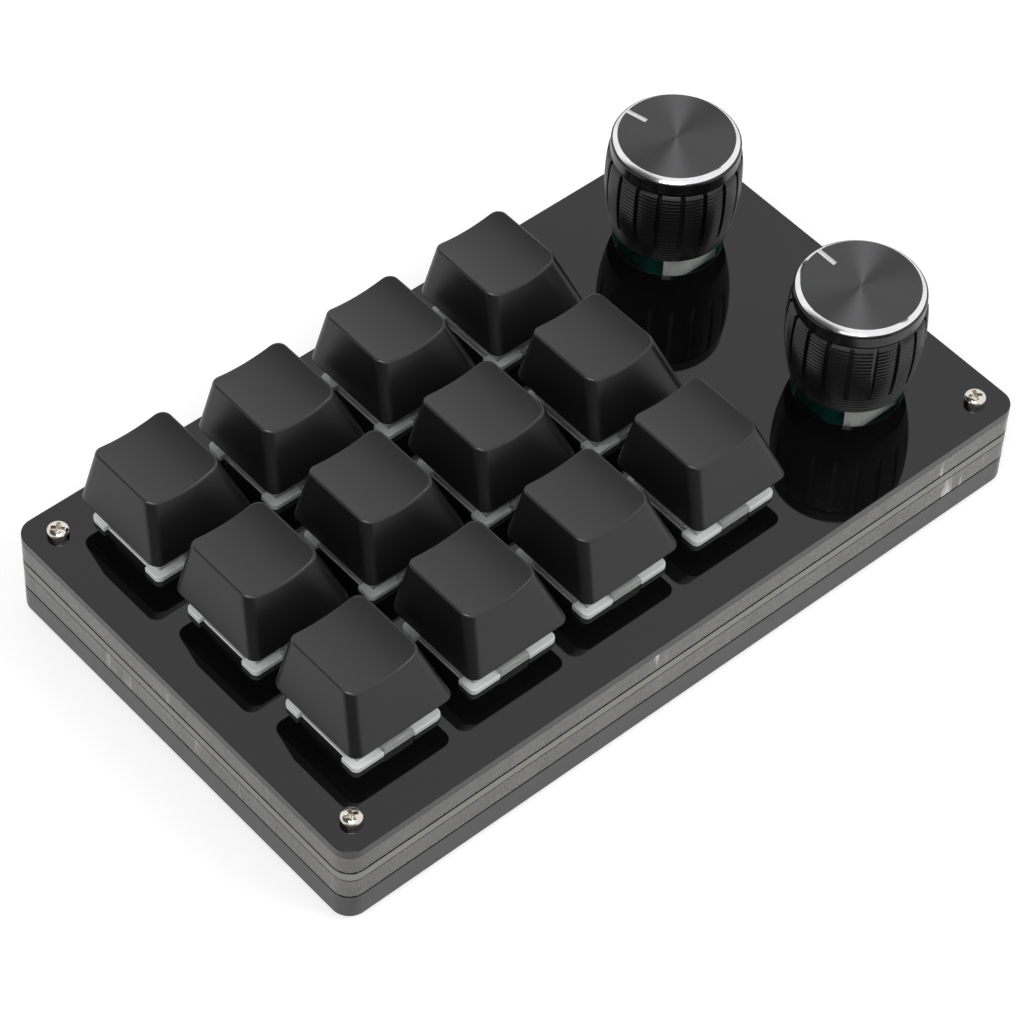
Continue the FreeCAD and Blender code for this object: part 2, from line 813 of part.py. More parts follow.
def make_key_spring(number, x, y):
    """Return spring, drawn as the plain sleeve that its turns fill."""
    tag = "key_spring_" + number
    length = spring_top - switch_floor_level
    outside = cylinder(tag + "_outside", S["spring_radius"], length, x, y, switch_floor_level)
    bore = cylinder(tag + "_bore", S["spring_radius"] - S["spring_wire"], length, x, y, switch_floor_level)
    sub_part(cut(tag, outside, [bore]), tag)


# Keycaps

def cap_section(body, name, level, width, depth, shift, corner):
    sketch = new_sketch(body, name, "XY_Plane", level)
    add_rounded_rectangle(sketch, shift, width, depth, corner)
    return sketch


def dish_radius():
    """Radius of the arc that spans the crown, and a little more, at the dish's depth."""
    half = S["cap_top_width"] / 2 + S["dish_margin"]
    depth = S["dish_depth"]
    return (half * half + depth * depth) / (depth * 2)


def cross_points(length, width):
    far = length / 2
    near = width / 2
    return [
        (-far, -near), (-near, -near), (-near, -far), (near, -far), (near, -near), (far, -near),
        (far, near), (near, near), (near, far), (-near, far), (-near, near), (-far, near),
    ]


def rim_edges(shape, lowest):
    """Names of the edges that lie wholly above a level."""
    names = []
    for number, edge in enumerate(shape.Edges, start=1):
        if min(vertex.Z for vertex in edge.Vertexes) > lowest:
            names.append("Edge" + str(number))
    return names


def make_keycap(number, x, y):
    """Hollow cap with a dished top, set back towards the rear, and a cross socket inside."""
    tag = "keycap_" + number
    height = cap_top - cap_bottom
    inner_height = cap_ceiling - cap_bottom
    wall = S["cap_wall"] * 2
    body = new_body(tag)

    side = S["cap_side"]
    width = S["cap_top_width"]
    depth = S["cap_top_depth"]
    shift = S["cap_top_shift"]
    foot = cap_section(body, tag + "_foot", as_size(0), side, side, as_size(0), S["cap_corner"])
    crown = cap_section(body, tag + "_crown", height, width, depth, shift, S["cap_corner"])
    outside = body.newObject("PartDesign::AdditiveLoft", tag + "_outside")
    outside.Profile = foot
    outside.Sections = [crown]
    outside.Ruled = True

    # A wide cylinder along Y presses the dish into the top
    dish = new_sketch(body, tag + "_dish", "XZ_Plane", S["cap_side"])
    add_circle(dish, as_size(0), height - S["dish_depth"] + dish_radius(), dish_radius())
    pocket(body, dish, S["cap_side"] * 2)
    doc.recompute()
    rim_level = height.value - S["dish_depth"].value - SMALL
    fillet(body, rim_edges(body.Shape, rim_level), S["cap_edge"])

    inner_side = side - wall
    inner_foot = cap_section(body, tag + "_inner_foot", as_size(0),
                             inner_side, inner_side, as_size(0), S["cap_inner_corner"])
    # The inner crown follows the outer walls at the height of the ceiling
    climb = inner_height / height
    inner_width = side - (side - width) * climb - wall
    inner_depth = side - (side - depth) * climb - wall
    inner_crown = cap_section(body, tag + "_inner_crown", inner_height,
                              inner_width, inner_depth, shift * climb, S["cap_inner_corner"])
    before = body.Tip
    inside = body.newObject("PartDesign::SubtractiveLoft", tag + "_inside")
    inside.Profile = inner_foot
    inside.Sections = [inner_crown]
    inside.Ruled = True
    cuts_to_check.append((inside, before))

    post_bottom = housing_top + S["travel_gap"] - cap_bottom
    post = new_sketch(body, tag + "_post", "XY_Plane", post_bottom)
    add_circle(post, as_size(0), as_size(0), S["stem_post_radius"])
    pad(body, post, inner_height - post_bottom + S["stem_post_sink"])

    socket_top = cross_top - cap_bottom
    socket = new_sketch(body, tag + "_socket", "XY_Plane", socket_top)
    gap = S["cross_gap"] * 2
    add_polygon(socket, cross_points(S["cross_length"] + gap, S["cross_width"] + gap))
    pocket(body, socket, socket_top - post_bottom)
    place(body, x, y, cap_bottom)


# Encoders

def encoder_pin_places():
    """Three contacts on the user's side of each encoder and two behind it."""
    places = []
    for number, x, y, turn in KNOBS:
        for step in (-1, 0, 1):
            places.append((x + S["encoder_pin_x"] * step, y - S["encoder_pin_y"]))
        for step in (-1, 1):
            places.append((x + S["encoder_pin_x"] * step, y + S["encoder_pin_y"]))
    return places


def make_encoder_pins():
    pins = []
    level = upper_level - S["pin_length"]
    radius = S["encoder_pin_radius"]
    for number, (x, y) in enumerate(encoder_pin_places()):
        pins.append(cylinder("encoder_pin_" + str(number), radius, S["pin_length"], x, y, level))
    group("encoder_pins", pins)


def make_encoder_base(number, x, y):
    tag = "encoder_base_" + number
    height = S["encoder_base_height"]
    block = box(tag + "_block", S["encoder_width"], S["encoder_depth"], height, x, y, upper_level)
    well_radius = S["tang_side"] / 2 * DIAGONAL + S["tang_well_gap"]
    well = cylinder(tag + "_well", well_radius, S["tang_well"], x, y, encoder_base_top - S["tang_well"])
    return cut(tag, block, [well])


def make_encoder_cover(number, x, y):
    """Metal can with the threaded bush that carries the shaft."""
    tag = "encoder_cover_" + number
    width = S["encoder_width"]
    depth = S["encoder_depth"]
    can = box(tag + "_can", width, depth, S["encoder_cover_height"], x, y, encoder_base_top)
    bush = cylinder(tag + "_bush", S["bush_radius"], S["bush_height"], x, y, cover_top)
    blank = fuse(tag + "_blank", [can, bush])
    wall = S["encoder_wall"] * 2
    inner_height = S["encoder_cover_height"] - S["encoder_roof"]
    inside = box(tag + "_inside", width - wall, depth - wall, inner_height, x, y, encoder_base_top)
    bore = cylinder(tag + "_bore", S["shaft_radius"] + S["shaft_gap"], LONG, x, y, encoder_base_top)
    tools = [inside, bore]
    trim = S["encoder_corner"] * 2
    for side_x in (-1, 1):
        for side_y in (-1, 1):
            label = tag + "_corner_" + str(side_x + 1) + str(side_y + 1)
            corner = box(label, trim, trim, LONG, as_size(0), as_size(0), as_size(0))
            corner.Placement.Rotation = FreeCAD.Rotation(FreeCAD.Vector(0, 0, 1), 45)
            # The square is turned about its own corner, so it is set back to centre on the edge
            half_turned = trim / 2 * DIAGONAL
            place(corner, x + width / 2 * side_x, y + depth / 2 * side_y - half_turned, encoder_base_top)
            tools.append(corner)
    return cut(tag, blank, tools)


def make_encoder_rotor(number, x, y, turn):
    """Contact disc that the shaft turns and slides in."""
    tag = "encoder_rotor_" + number
    disc = cylinder(tag + "_disc", S["rotor_radius"], S["rotor_thick"], as_size(0), as_size(0), as_size(0))
    hole_side = S["tang_side"] + S["tang_gap"] * 2
    hole = box(tag + "_hole", hole_side, hole_side, S["rotor_thick"], as_size(0), as_size(0), as_size(0))
    rotor = cut(tag, disc, [hole])
    place(turn_about_z(rotor, turn), x, y, rotor_bottom)
    sub_part(rotor, tag)


def make_encoder_shaft(number, x, y, turn):
    """Round shaft with a square tang below and a flat for the grub screw above."""
    tag = "encoder_shaft_" + number
    zero = as_size(0)
    tang = box(tag + "_tang", S["tang_side"], S["tang_side"], tang_top - tang_bottom, zero, zero, zero)
    rod_level = tang_top - tang_bottom
    rod_length = shaft_top - tang_top
    rod = cylinder(tag + "_rod", S["shaft_radius"], rod_length, zero, zero, rod_level)
    blank = fuse(tag + "_blank", [tang, rod])
    flat_level = shaft_top - tang_bottom - S["shaft_flat_length"]
    flat_side = (S["shaft_radius"] + OVERSHOOT) * 2
    flat_y = S["shaft_flat"] + flat_side / 2
    flat = box(tag + "_flat", flat_side, flat_side, LONG, zero, flat_y, flat_level)
    shaft = cut(tag, blank, [flat])
    place(turn_about_z(shaft, turn), x, y, tang_bottom)
    sub_part(shaft, tag)


# Knobs

grip_top = knob_height - S["knob_ring_height"] - S["knob_band_height"] - S["knob_neck_height"]


def grip_radius(height):
    """Radius of the barrel-shaped grip at a height over the knob's foot."""
    away = height - S["knob_grip_waist"]
    return S["knob_grip_radius"] - S["knob_grip_bulge"] * away * away


def ridge_points():
    """Fine ridges up the grip: a notch and a crest for each."""
    points = []
    pitch = (grip_top - S["knob_lip"]) / KNOB_RIDGES
    for number in range(KNOB_RIDGES):
        crest = pitch * number
        notch = pitch * (number + RIDGE_NOTCH)
        points.append((grip_radius(crest), crest))
        points.append((grip_radius(crest + pitch / 2), crest + pitch / 2))
        points.append((grip_radius(notch) - S["ridge_depth"], notch))
    last = pitch * KNOB_RIDGES
    points.append((grip_radius(last), last))
    return points


def knob_profile():
    """Half section of the knob, from the well's edge round the outside to the axis."""
    bore_radius = S["shaft_radius"] + S["knob_bore_gap"]
    bore_top = shaft_top - knob_bottom
    neck_top = grip_top + S["knob_neck_height"]
    ring_bottom = knob_height - S["knob_ring_height"]
    points = [(S["knob_well_radius"], as_size(0))]
    points += ridge_points()
    points += [
        (grip_radius(grip_top) - S["knob_lip"], grip_top),
        (S["knob_neck_radius"], grip_top),
        (S["knob_neck_radius"], neck_top),
        (S["knob_band_radius"], neck_top),
        (S["knob_band_radius"], ring_bottom - S["knob_band_edge"]),
        (S["knob_ring_radius"], ring_bottom),
        (S["knob_disc_radius"], knob_height),
        (as_size(0), knob_height),
        (as_size(0), bore_top),
        (bore_radius, bore_top),
        (bore_radius, S["knob_well_height"]),
        (S["knob_well_radius"], S["knob_well_height"]),
    ]
    return points


def make_knob(number, x, y, turn):
    """Turned grip knob: spun top, bright ring, smooth band and a ridged, slotted barrel."""
    tag = "knob_" + number
    body = new_body(tag)
    profile = new_sketch(body, tag + "_profile", "XZ_Plane", as_size(0))
    add_polygon(profile, knob_profile())
    turned = body.newObject("PartDesign::Revolution", tag + "_turned")
    turned.Profile = profile
    turned.ReferenceAxis = (profile, ["V_Axis"])
    turned.Angle = 360.0

    # One upright slot beside the pointer's line, repeated round the grip
    slot_depth = S["knob_grip_radius"] - S["knob_slot_radius"] + OVERSHOOT
    slot = new_sketch(body, tag + "_slot", "XY_Plane", grip_top)
    add_rectangle(slot, S["knob_slot_radius"] + slot_depth / 2, as_size(0), slot_depth, S["knob_slot_width"])
    slot_pocket = pocket(body, slot, grip_top - S["knob_slot_foot"])
    before = body.Tip
    pattern = body.newObject("PartDesign::PolarPattern", tag + "_slots")
    pattern.Originals = [slot_pocket]
    pattern.Axis = (slot, ["N_Axis"])
    pattern.Angle = 360.0
    pattern.Occurrences = KNOB_SLOTS
    body.Tip = pattern
    cuts_to_check.append((pattern, before))

    pointer = new_sketch(body, tag + "_pointer", "XY_Plane", knob_height)
    pointer_length = S["knob_ring_radius"] - S["pointer_inner"]
    pointer_middle = S["pointer_inner"] + pointer_length / 2
    add_rectangle(pointer, as_size(0), pointer_middle, S["pointer_width"], pointer_length)
    pocket(body, pointer, S["pointer_depth"])

    grub_hole = new_sketch(body, tag + "_grub_hole", "XZ_Plane", -S["knob_grip_radius"] - OVERSHOOT)
    add_circle(grub_hole, as_size(0), S["grub_height"], S["grub_radius"] + S["grub_gap"])
    grub_pocket = pocket(body, grub_hole, S["knob_grip_radius"] + OVERSHOOT - S["shaft_flat"])
    grub_pocket.Reversed = True
    turn_about_z(body, turn)
    place(body, x, y, knob_bottom)


def make_knob_grub(number, x, y, turn):
    """Headless screw that bears on the shaft's flat."""
    tag = "knob_grub_" + number
    zero = as_size(0)
    rod = cylinder(tag + "_rod", S["grub_radius"], S["grub_length"], zero, zero, zero)
    socket_level = S["grub_length"] - S["grub_socket_depth"]
    socket_radius = S["grub_socket_radius"]
    socket_depth = S["grub_socket_depth"]
    socket = prism(tag + "_socket", HEX_SIDES, socket_radius, socket_depth, zero, zero, socket_level)
    upright = cut(tag + "_upright", rod, [socket])
    upright.Placement.Rotation = FreeCAD.Rotation(FreeCAD.Vector(1, 0, 0), -90)
    place(upright, zero, S["shaft_flat"], S["grub_height"])
    grub = doc.addObject("Part::Compound", tag)
    grub.Links = [upright]
    turn_about_z(grub, turn)
    place(grub, x, y, knob_bottom)
    sub_part(grub, tag)


# Small parts soldered under the board

def make_board_components():
    """Controller, its crystal, and a diode beside every key."""
    items = []
    chip_x = S["case_length"] / 2 - S["knob_margin_right"]
    chip_y = S["case_depth"] / 2 - S["knob_margin_back"] - S["knob_pitch"] / 2
    side = S["chip_side"]
    items.append(box("chip", side, side, S["chip_thick"], chip_x, chip_y, board_level - S["chip_thick"]))
    crystal_x = chip_x - side / 2 - S["chip_part_gap"] - S["crystal_length"] / 2
    crystal_level = board_level - S["chip_thick"]
    crystal = box("crystal", S["crystal_length"], S["crystal_width"], S["chip_thick"],
                  crystal_x, chip_y, crystal_level)
    items.append(crystal)
    for number, x, y in KEYS:
        diode_y = y - S["diode_offset"]
        diode = box("diode_" + number, S["diode_length"], S["diode_width"], S["diode_thick"],
                    x, diode_y, board_level - S["diode_thick"])
        items.append(diode)
    group("board_components", items)


# Checks and files

def check_document():
    """Stop if anything failed to build or a cut took nothing away."""
    for item in doc.Objects:
        if "Invalid" in item.State or "Error" in item.State:
            raise RuntimeError(item.Name + " failed: " + str(item.State))
    for item, before in cuts_to_check:
        if item.Shape.Volume > before.Shape.Volume - SMALL:
            raise RuntimeError(item.Name + " cuts nothing")
    for item in sub_parts:
        if item.Shape.isNull() or not item.Shape.isValid():
            raise RuntimeError(item.Label + " has no valid shape")


def export_parts():
    os.makedirs("parts", exist_ok=True)
    for item in sub_parts:
        item.Shape.exportStep("parts/" + item.Label + ".step")
        box_size = item.Shape.BoundBox
        low = (round(box_size.XMin, 2), round(box_size.YMin, 2), round(box_size.ZMin, 2))
        high = (round(box_size.XMax, 2), round(box_size.YMax, 2), round(box_size.ZMax, 2))
        print(item.Label, len(item.Shape.Solids), "solids", low, high)


def main():
    make_top_plate()
    make_upper_frame()
    make_circuit_board()
    make_lower_frame()
    make_bottom_plate()
    make_case_inserts()
    make_case_screws()
    make_rubber_feet()
    make_usb_port()
    make_board_components()
    group("switch_bases", [make_switch_base(number, x, y) for number, x, y in KEYS])
    group("switch_tops", [make_switch_top(number, x, y) for number, x, y in KEYS])
    pins = []
    for number, x, y in KEYS:
        pins += make_switch_pins(number, x, y)
    group("switch_pins", pins)
    for number, x, y in KEYS:
        make_key_stem(number, x, y)
        make_key_spring(number, x, y)
        make_keycap(number, x, y)
    group("encoder_bases", [make_encoder_base(number, x, y) for number, x, y, turn in KNOBS])
    group("encoder_covers", [make_encoder_cover(number, x, y) for number, x, y, turn in KNOBS])
    make_encoder_pins()
    for number, x, y, turn in KNOBS:
        make_encoder_rotor(number, x, y, turn)
        make_encoder_shaft(number, x, y, turn)
        make_knob(number, x, y, turn)
        make_knob_grub(number, x, y, turn)
    doc.recompute()
    check_document()
    export_parts()
    print(len(sub_parts), "pieces written")


main()
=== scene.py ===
import json
import math

import bmesh
import bpy
from mathutils import Matrix, Vector

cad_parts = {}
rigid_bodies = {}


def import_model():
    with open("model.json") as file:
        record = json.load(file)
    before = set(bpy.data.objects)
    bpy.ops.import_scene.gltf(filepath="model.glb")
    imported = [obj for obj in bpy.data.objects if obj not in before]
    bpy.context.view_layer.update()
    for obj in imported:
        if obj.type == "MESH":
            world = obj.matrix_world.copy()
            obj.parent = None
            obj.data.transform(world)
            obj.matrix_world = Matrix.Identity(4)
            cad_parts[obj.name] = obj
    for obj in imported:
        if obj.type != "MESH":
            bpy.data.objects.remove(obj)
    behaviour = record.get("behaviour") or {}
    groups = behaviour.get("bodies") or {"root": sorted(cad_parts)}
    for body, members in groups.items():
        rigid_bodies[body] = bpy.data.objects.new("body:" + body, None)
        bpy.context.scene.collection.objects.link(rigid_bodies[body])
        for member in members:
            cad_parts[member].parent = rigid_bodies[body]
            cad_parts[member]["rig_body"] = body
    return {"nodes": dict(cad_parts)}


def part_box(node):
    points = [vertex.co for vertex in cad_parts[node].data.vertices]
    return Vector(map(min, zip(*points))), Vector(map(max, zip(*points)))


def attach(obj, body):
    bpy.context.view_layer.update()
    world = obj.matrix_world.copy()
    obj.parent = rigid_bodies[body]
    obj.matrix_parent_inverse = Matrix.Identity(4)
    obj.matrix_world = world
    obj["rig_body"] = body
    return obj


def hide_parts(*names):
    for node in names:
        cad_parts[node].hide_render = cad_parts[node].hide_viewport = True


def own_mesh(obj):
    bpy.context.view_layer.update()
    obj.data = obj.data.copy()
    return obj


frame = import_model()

# Looks of a macro keypad with knobs: acrylic layers, switches, dished caps and turned knobs.
# Sizes of the keypad are in millimetres and multiplied by MM; the studio is in metres.

MM = 0.001
WELD = 0.002 * MM
KEYS = [format(number, "02d") for number in range(1, 13)]
KNOB_TURNS = {"1": 14.0, "2": 0.0}
MATERIALS = {}

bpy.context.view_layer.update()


# Node trees

EVEN = (1.0, 1.0, 1.0)
RISING = (0.0, 1.0)
FALLING = (1.0, 0.0)


class Tree:
    """Short calls to build a node tree."""

    def __init__(self, tree):
        self.tree = tree

    def add(self, kind, **settings):
        node = self.tree.nodes.new(kind)
        for name, value in settings.items():
            setattr(node, name, value)
        return node

    def link(self, source, target):
        self.tree.links.new(source, target)

    def spread(self, value, before, after, kind="LINEAR"):
        """Map a value from one range to another, held at the ends."""
        node = self.add("ShaderNodeMapRange", interpolation_type=kind)
        names = ("From Min", "From Max", "To Min", "To Max")
        for name, number in zip(names, (*before, *after)):
            node.inputs[name].default_value = number
        self.link(value, node.inputs["Value"])
        return node.outputs["Result"]

    def step(self, value, edge, levels=RISING):
        """A soft step between two levels."""
        return self.spread(value, edge, levels, "SMOOTHSTEP")

    def band(self, value, rise, fall):
        """1 between two soft edges and 0 outside them."""
        return self.math("MULTIPLY", self.step(value, rise), self.step(value, fall, FALLING))

    def math(self, operation, *values):
        """A sum of values that are each a float or an output."""
        node = self.add("ShaderNodeMath", operation=operation)
        for socket, value in zip(node.inputs, values):
            if isinstance(value, float):
                socket.default_value = value
            else:
                self.link(value, socket)
        return node.outputs["Value"]

    def part_of(self, vector, axis):
        split = self.add("ShaderNodeSeparateXYZ")
        self.link(vector, split.inputs["Vector"])
        return split.outputs[axis]

    def dot(self, vector, fixed):
        node = self.add("ShaderNodeVectorMath", operation="DOT_PRODUCT")
        self.link(vector, node.inputs[0])
        node.inputs[1].default_value = fixed
        return node.outputs["Value"]

    def mix_shaders(self, factor, first, second):
        node = self.add("ShaderNodeMixShader")
        self.link(factor, node.inputs["Fac"])
        self.link(first, node.inputs[1])
        self.link(second, node.inputs[2])
        return node.outputs["Shader"]

    def seen_rays(self):
        """1 for rays from the camera, a reflection or a transmission, and 0 for light gathering."""
        path = self.add("ShaderNodeLightPath")
        total = path.outputs["Is Camera Ray"]
        for name in ("Is Glossy Ray", "Is Transmission Ray"):
            total = self.math("MAXIMUM", total, path.outputs[name])
        return total


class Shader(Tree):
    """One material with a principled shader, kept in MATERIALS under its name."""

    def __init__(self, name, color, roughness, metallic=0.0, **sockets):
        material = bpy.data.materials.new(name)
        material.use_nodes = True
        super().__init__(material.node_tree)
        MATERIALS[name] = material
        self.surface = self.tree.nodes["Principled BSDF"]
        self.surface.inputs["Base Color"].default_value = (*color, 1.0)
        self.surface.inputs["Roughness"].default_value = roughness
        self.surface.inputs["Metallic"].default_value = metallic
        for socket, value in sockets.items():
            self.surface.inputs[socket.replace("_", " ")].default_value = value

    def place(self, stretch=EVEN):
        """Object coordinates, stretched along each axis."""
        coordinates = self.add("ShaderNodeTexCoord")
        mapping = self.add("ShaderNodeMapping")
        mapping.inputs["Scale"].default_value = stretch
        self.link(coordinates.outputs["Object"], mapping.inputs["Vector"])
        return mapping.outputs["Vector"]

    def noise(self, size, detail=3.0, stretch=EVEN):
        """Cloudy noise whose patches are about as wide as the size given."""
        texture = self.add("ShaderNodeTexNoise")
        texture.inputs["Scale"].default_value = 1.0 / (size * MM)
        texture.inputs["Detail"].default_value = detail
        self.link(self.place(stretch), texture.inputs["Vector"])
        return texture.outputs["Fac"]

    def blend(self, factor, first, second):
        """Blend two colours, each a plain triple or an output."""
        node = self.add("ShaderNodeMix", data_type="RGBA")
        self.link(factor, node.inputs["Factor"])
        colors = [socket for socket in node.inputs if socket.type == "RGBA"]
        for target, value in zip(colors, (first, second)):
            if isinstance(value, tuple):
                target.default_value = (*value, 1.0)
            else:
                self.link(value, target)
        return [socket for socket in node.outputs if socket.type == "RGBA"][0]

    def feed(self, socket, output):
        self.link(output, self.surface.inputs[socket])

    def color(self, output):
        self.feed("Base Color", output)

    def roughness(self, output):
        self.feed("Roughness", output)

    def bump(self, height, depth, strength=1.0):
        """Raise the surface by a depth in millimetres where the texture is white."""
        node = self.add("ShaderNodeBump")
        node.inputs["Strength"].default_value = strength
        node.inputs["Distance"].default_value = depth * MM
        self.link(height, node.inputs["Height"])
        self.feed("Normal", node.outputs["Normal"])

    def facing(self, axis):
        """How squarely the surface faces along an axis, from 0 to 1."""
        geometry = self.add("ShaderNodeNewGeometry")
        return self.math("ABSOLUTE", self.part_of(geometry.outputs["True Normal"], axis))

    def side_mask(self):
        """1 on upright faces and 0 on level ones."""
        return self.spread(self.facing("Z"), (0.3, 0.6), FALLING)


# Finishes

def shaded(color, share):
    return tuple(value * share for value in color)


def make_black_acrylic():
    """Glossy black sheet with faint smears; the sawn edge is duller and a little lighter."""
    shader = Shader("black_acrylic", (0.003, 0.003, 0.0033), 0.04)
    side = shader.side_mask()
    smears = shader.spread(shader.noise(14.0, 4.0), (0.35, 0.75), (0.02, 0.06))
    frosting = shader.spread(side, RISING, (0.0, 0.30))
    shader.roughness(shader.math("MAXIMUM", smears, frosting))
    saw_marks = shader.noise(0.6, 4.0, (1.0, 1.0, 0.15))
    glossy = shader.blend(shader.noise(0.8), (0.0025, 0.0025, 0.0028), (0.0040, 0.0040, 0.0044))
    sawn = shader.blend(saw_marks, (0.026, 0.026, 0.027), (0.050, 0.050, 0.051))
    shader.color(shader.blend(side, glossy, sawn))
    shader.bump(shader.noise(9.0, 1.0), 0.002, 0.5)


def make_clear_acrylic():
    """Clear sheet with a laser-cut edge: evenly frosted, with bright upright streaks in a few places."""
    shader = Shader("clear_acrylic", (0.60, 0.62, 0.61), 0.20, IOR=1.49)
    streaks = shader.noise(0.9, 4.0, (1.0, 1.0, 0.10))
    patches = shader.noise(9.0, 2.0, (1.0, 1.0, 0.4))
    bright_patches = shader.spread(patches, (0.60, 0.68), RISING)
    bright_streaks = shader.spread(streaks, (0.48, 0.58), RISING)
    marked = shader.math("MULTIPLY", bright_patches, bright_streaks)
    cloud = shader.spread(patches, (0.30, 0.60), RISING)
    frosted = shader.blend(cloud, (0.36, 0.35, 0.34), (0.46, 0.45, 0.436))
    shader.color(shader.blend(marked, frosted, (0.93, 0.92, 0.90)))
    shader.roughness(shader.spread(streaks, (0.35, 0.65), (0.12, 0.30)))
    shader.feed("Transmission Weight", shader.spread(marked, RISING, (0.70, 0.40)))
    shader.bump(streaks, 0.02, 0.3)


def make_board():
    """Green solder mask on the faces and bare glass fibre at the cut edge."""
    shader = Shader("board_green", (0.02, 0.16, 0.12), 0.25)
    weave = shader.add("ShaderNodeTexBrick")
    weave.inputs["Scale"].default_value = 1.0 / (3.0 * MM)
    weave.inputs["Mortar Size"].default_value = 0.03
    weave.inputs["Color1"].default_value = (0.036, 0.320, 0.240, 1.0)
    weave.inputs["Color2"].default_value = (0.028, 0.260, 0.195, 1.0)
    weave.inputs["Mortar"].default_value = (0.055, 0.420, 0.310, 1.0)
    shader.link(shader.place(), weave.inputs["Vector"])
    plies = shader.noise(0.3, 2.0, (0.2, 0.2, 4.0))
    fibre = shader.blend(plies, (0.31, 0.31, 0.29), (0.20, 0.20, 0.18))
    side = shader.side_mask()
    shader.color(shader.blend(side, weave.outputs["Color"], fibre))
    shader.roughness(shader.spread(side, RISING, (0.22, 0.6)))
    shader.bump(weave.outputs["Fac"], 0.03, 0.4)


def make_metal(name, color, roughness, grain=0.25, stretch=EVEN, depth=0.006):
    """Plain metal with a fine grain and slightly uneven polish."""
    shader = Shader(name, color, roughness, 1.0)
    shader.color(shader.blend(shader.noise(grain * 6, 3.0, stretch), color, shaded(color, 0.82)))
    polish = shader.noise(grain, 4.0, stretch)
    shader.roughness(shader.spread(polish, (0.3, 0.7), (roughness * 0.75, roughness * 1.3)))
    shader.bump(polish, depth, 0.6)


def make_plastic(name, color, roughness, grain=0.12, depth=0.008, **sockets):
    """Moulded plastic with a fine grain and faint colour variation."""
    shader = Shader(name, color, roughness, 0.0, **sockets)
    shader.color(shader.blend(shader.noise(3.0), color, shaded(color, 0.85)))
    fine = shader.noise(grain)
    shader.roughness(shader.spread(fine, (0.3, 0.7), (roughness * 0.9, roughness * 1.12)))
    shader.bump(fine, depth, 0.5)


def make_can():
    """Bright pressed metal: polished on the sides, satin on the faces towards the front and back."""
    shader = Shader("encoder_zinc", (0.78, 0.78, 0.76), 0.2, 1.0)
    satin = shader.spread(shader.facing("Y"), (0.4, 0.8), RISING)
    shader.feed("Metallic", shader.spread(satin, RISING, (1.0, 0.3)))
    shader.roughness(shader.spread(satin, RISING, (0.15, 0.35)))
    stains = shader.noise(0.8, 3.0, (1.0, 1.0, 0.3))
    shader.color(shader.blend(stains, (0.82, 0.82, 0.80), (0.60, 0.60, 0.58)))
    shader.bump(shader.noise(0.5, 3.0, (0.4, 0.4, 1.0)), 0.01, 0.4)


def make_spun(name, color, roughness):
    """Lathe-turned face: fine circles round the axis that stretch each highlight into a fan."""
    shader = Shader(name, color, roughness, 1.0, Anisotropic=0.85, Anisotropic_Rotation=0.25)
    tangent = shader.add("ShaderNodeTangent", direction_type="RADIAL", axis="Z")
    shader.feed("Tangent", tangent.outputs["Tangent"])
    rings = shader.add("ShaderNodeTexWave", wave_type="RINGS", rings_direction="Z")
    rings.inputs["Scale"].default_value = 1.0 / (0.9 * MM)
    rings.inputs["Distortion"].default_value = 0.4
    rings.inputs["Detail"].default_value = 2.0
    shader.link(shader.place(), rings.inputs["Vector"])
    shader.color(shader.blend(rings.outputs["Fac"], color, shaded(color, 0.75)))
    shader.bump(rings.outputs["Fac"], 0.004, 0.25)


make_black_acrylic()
make_clear_acrylic()
make_board()
make_metal("insert_brass", (0.62, 0.45, 0.16), 0.30)
make_metal("screw_nickel", (0.80, 0.76, 0.70), 0.09, 0.5, depth=0.003)
make_plastic("foot_rubber", (0.020, 0.020, 0.020), 0.80, 0.2, 0.02)
make_metal("socket_steel", (0.60, 0.60, 0.60), 0.28, 0.2, (0.3, 0.3, 2.0))
make_plastic("chip_black", (0.020, 0.020, 0.021), 0.55)
make_plastic("switch_white", (0.86, 0.89, 0.885), 0.38, 0.2, 0.006)
make_plastic("switch_clear", (0.84, 0.85, 0.84), 0.20, 0.6, 0.004, Transmission_Weight=0.55, IOR=1.5)
make_metal("pin_tin", (0.62, 0.62, 0.60), 0.25)
make_plastic("stem_plastic", (0.70, 0.69, 0.66), 0.40)
make_metal("spring_steel", (0.50, 0.50, 0.50), 0.30, 0.2, (0.2, 0.2, 4.0), 0.05)
make_plastic("keycap_grey", (0.0045, 0.0045, 0.0047), 0.34, 0.14, 0.012, IOR=1.57)
make_plastic("encoder_black", (0.018, 0.018, 0.019), 0.45)
make_can()
make_metal("shaft_aluminium", (0.62, 0.62, 0.63), 0.30, 0.15, (1.0, 1.0, 4.0))
make_plastic("knob_black", (0.005, 0.005, 0.0055), 0.20, 0.10, 0.004)
make_spun("knob_disc", (0.100, 0.100, 0.103), 0.45)
make_metal("knob_ring", (0.90, 0.90, 0.91), 0.12, 0.3, (1.0, 1.0, 0.3), 0.002)
make_plastic("knob_pointer", (0.80, 0.80, 0.80), 0.35)
make_metal("grub_steel", (0.10, 0.10, 0.10), 0.35)
# Matt black with no reflection, for the bands of painted shade in the gaps between the layers
make_plastic("seam_black", (0.004, 0.004, 0.004), 0.90, Specular_IOR_Level=0.0)


# Mesh helpers

def body_of(node):
    return frame["nodes"][node]["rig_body"]


def show(piece):
    """Link an object into the scene once."""
    if piece.name not in bpy.context.scene.collection.objects:
        bpy.context.scene.collection.objects.link(piece)


def link_piece(piece, body, nodes=()):
    """Put a finished object in the scene and tie it to its body."""
    show(piece)
    if nodes:
        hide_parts(*nodes)
    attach(piece, body)


def smooth(mesh, angle=35.0):
    mesh.shade_smooth()
    mesh.set_sharp_from_angle(angle=math.radians(angle))


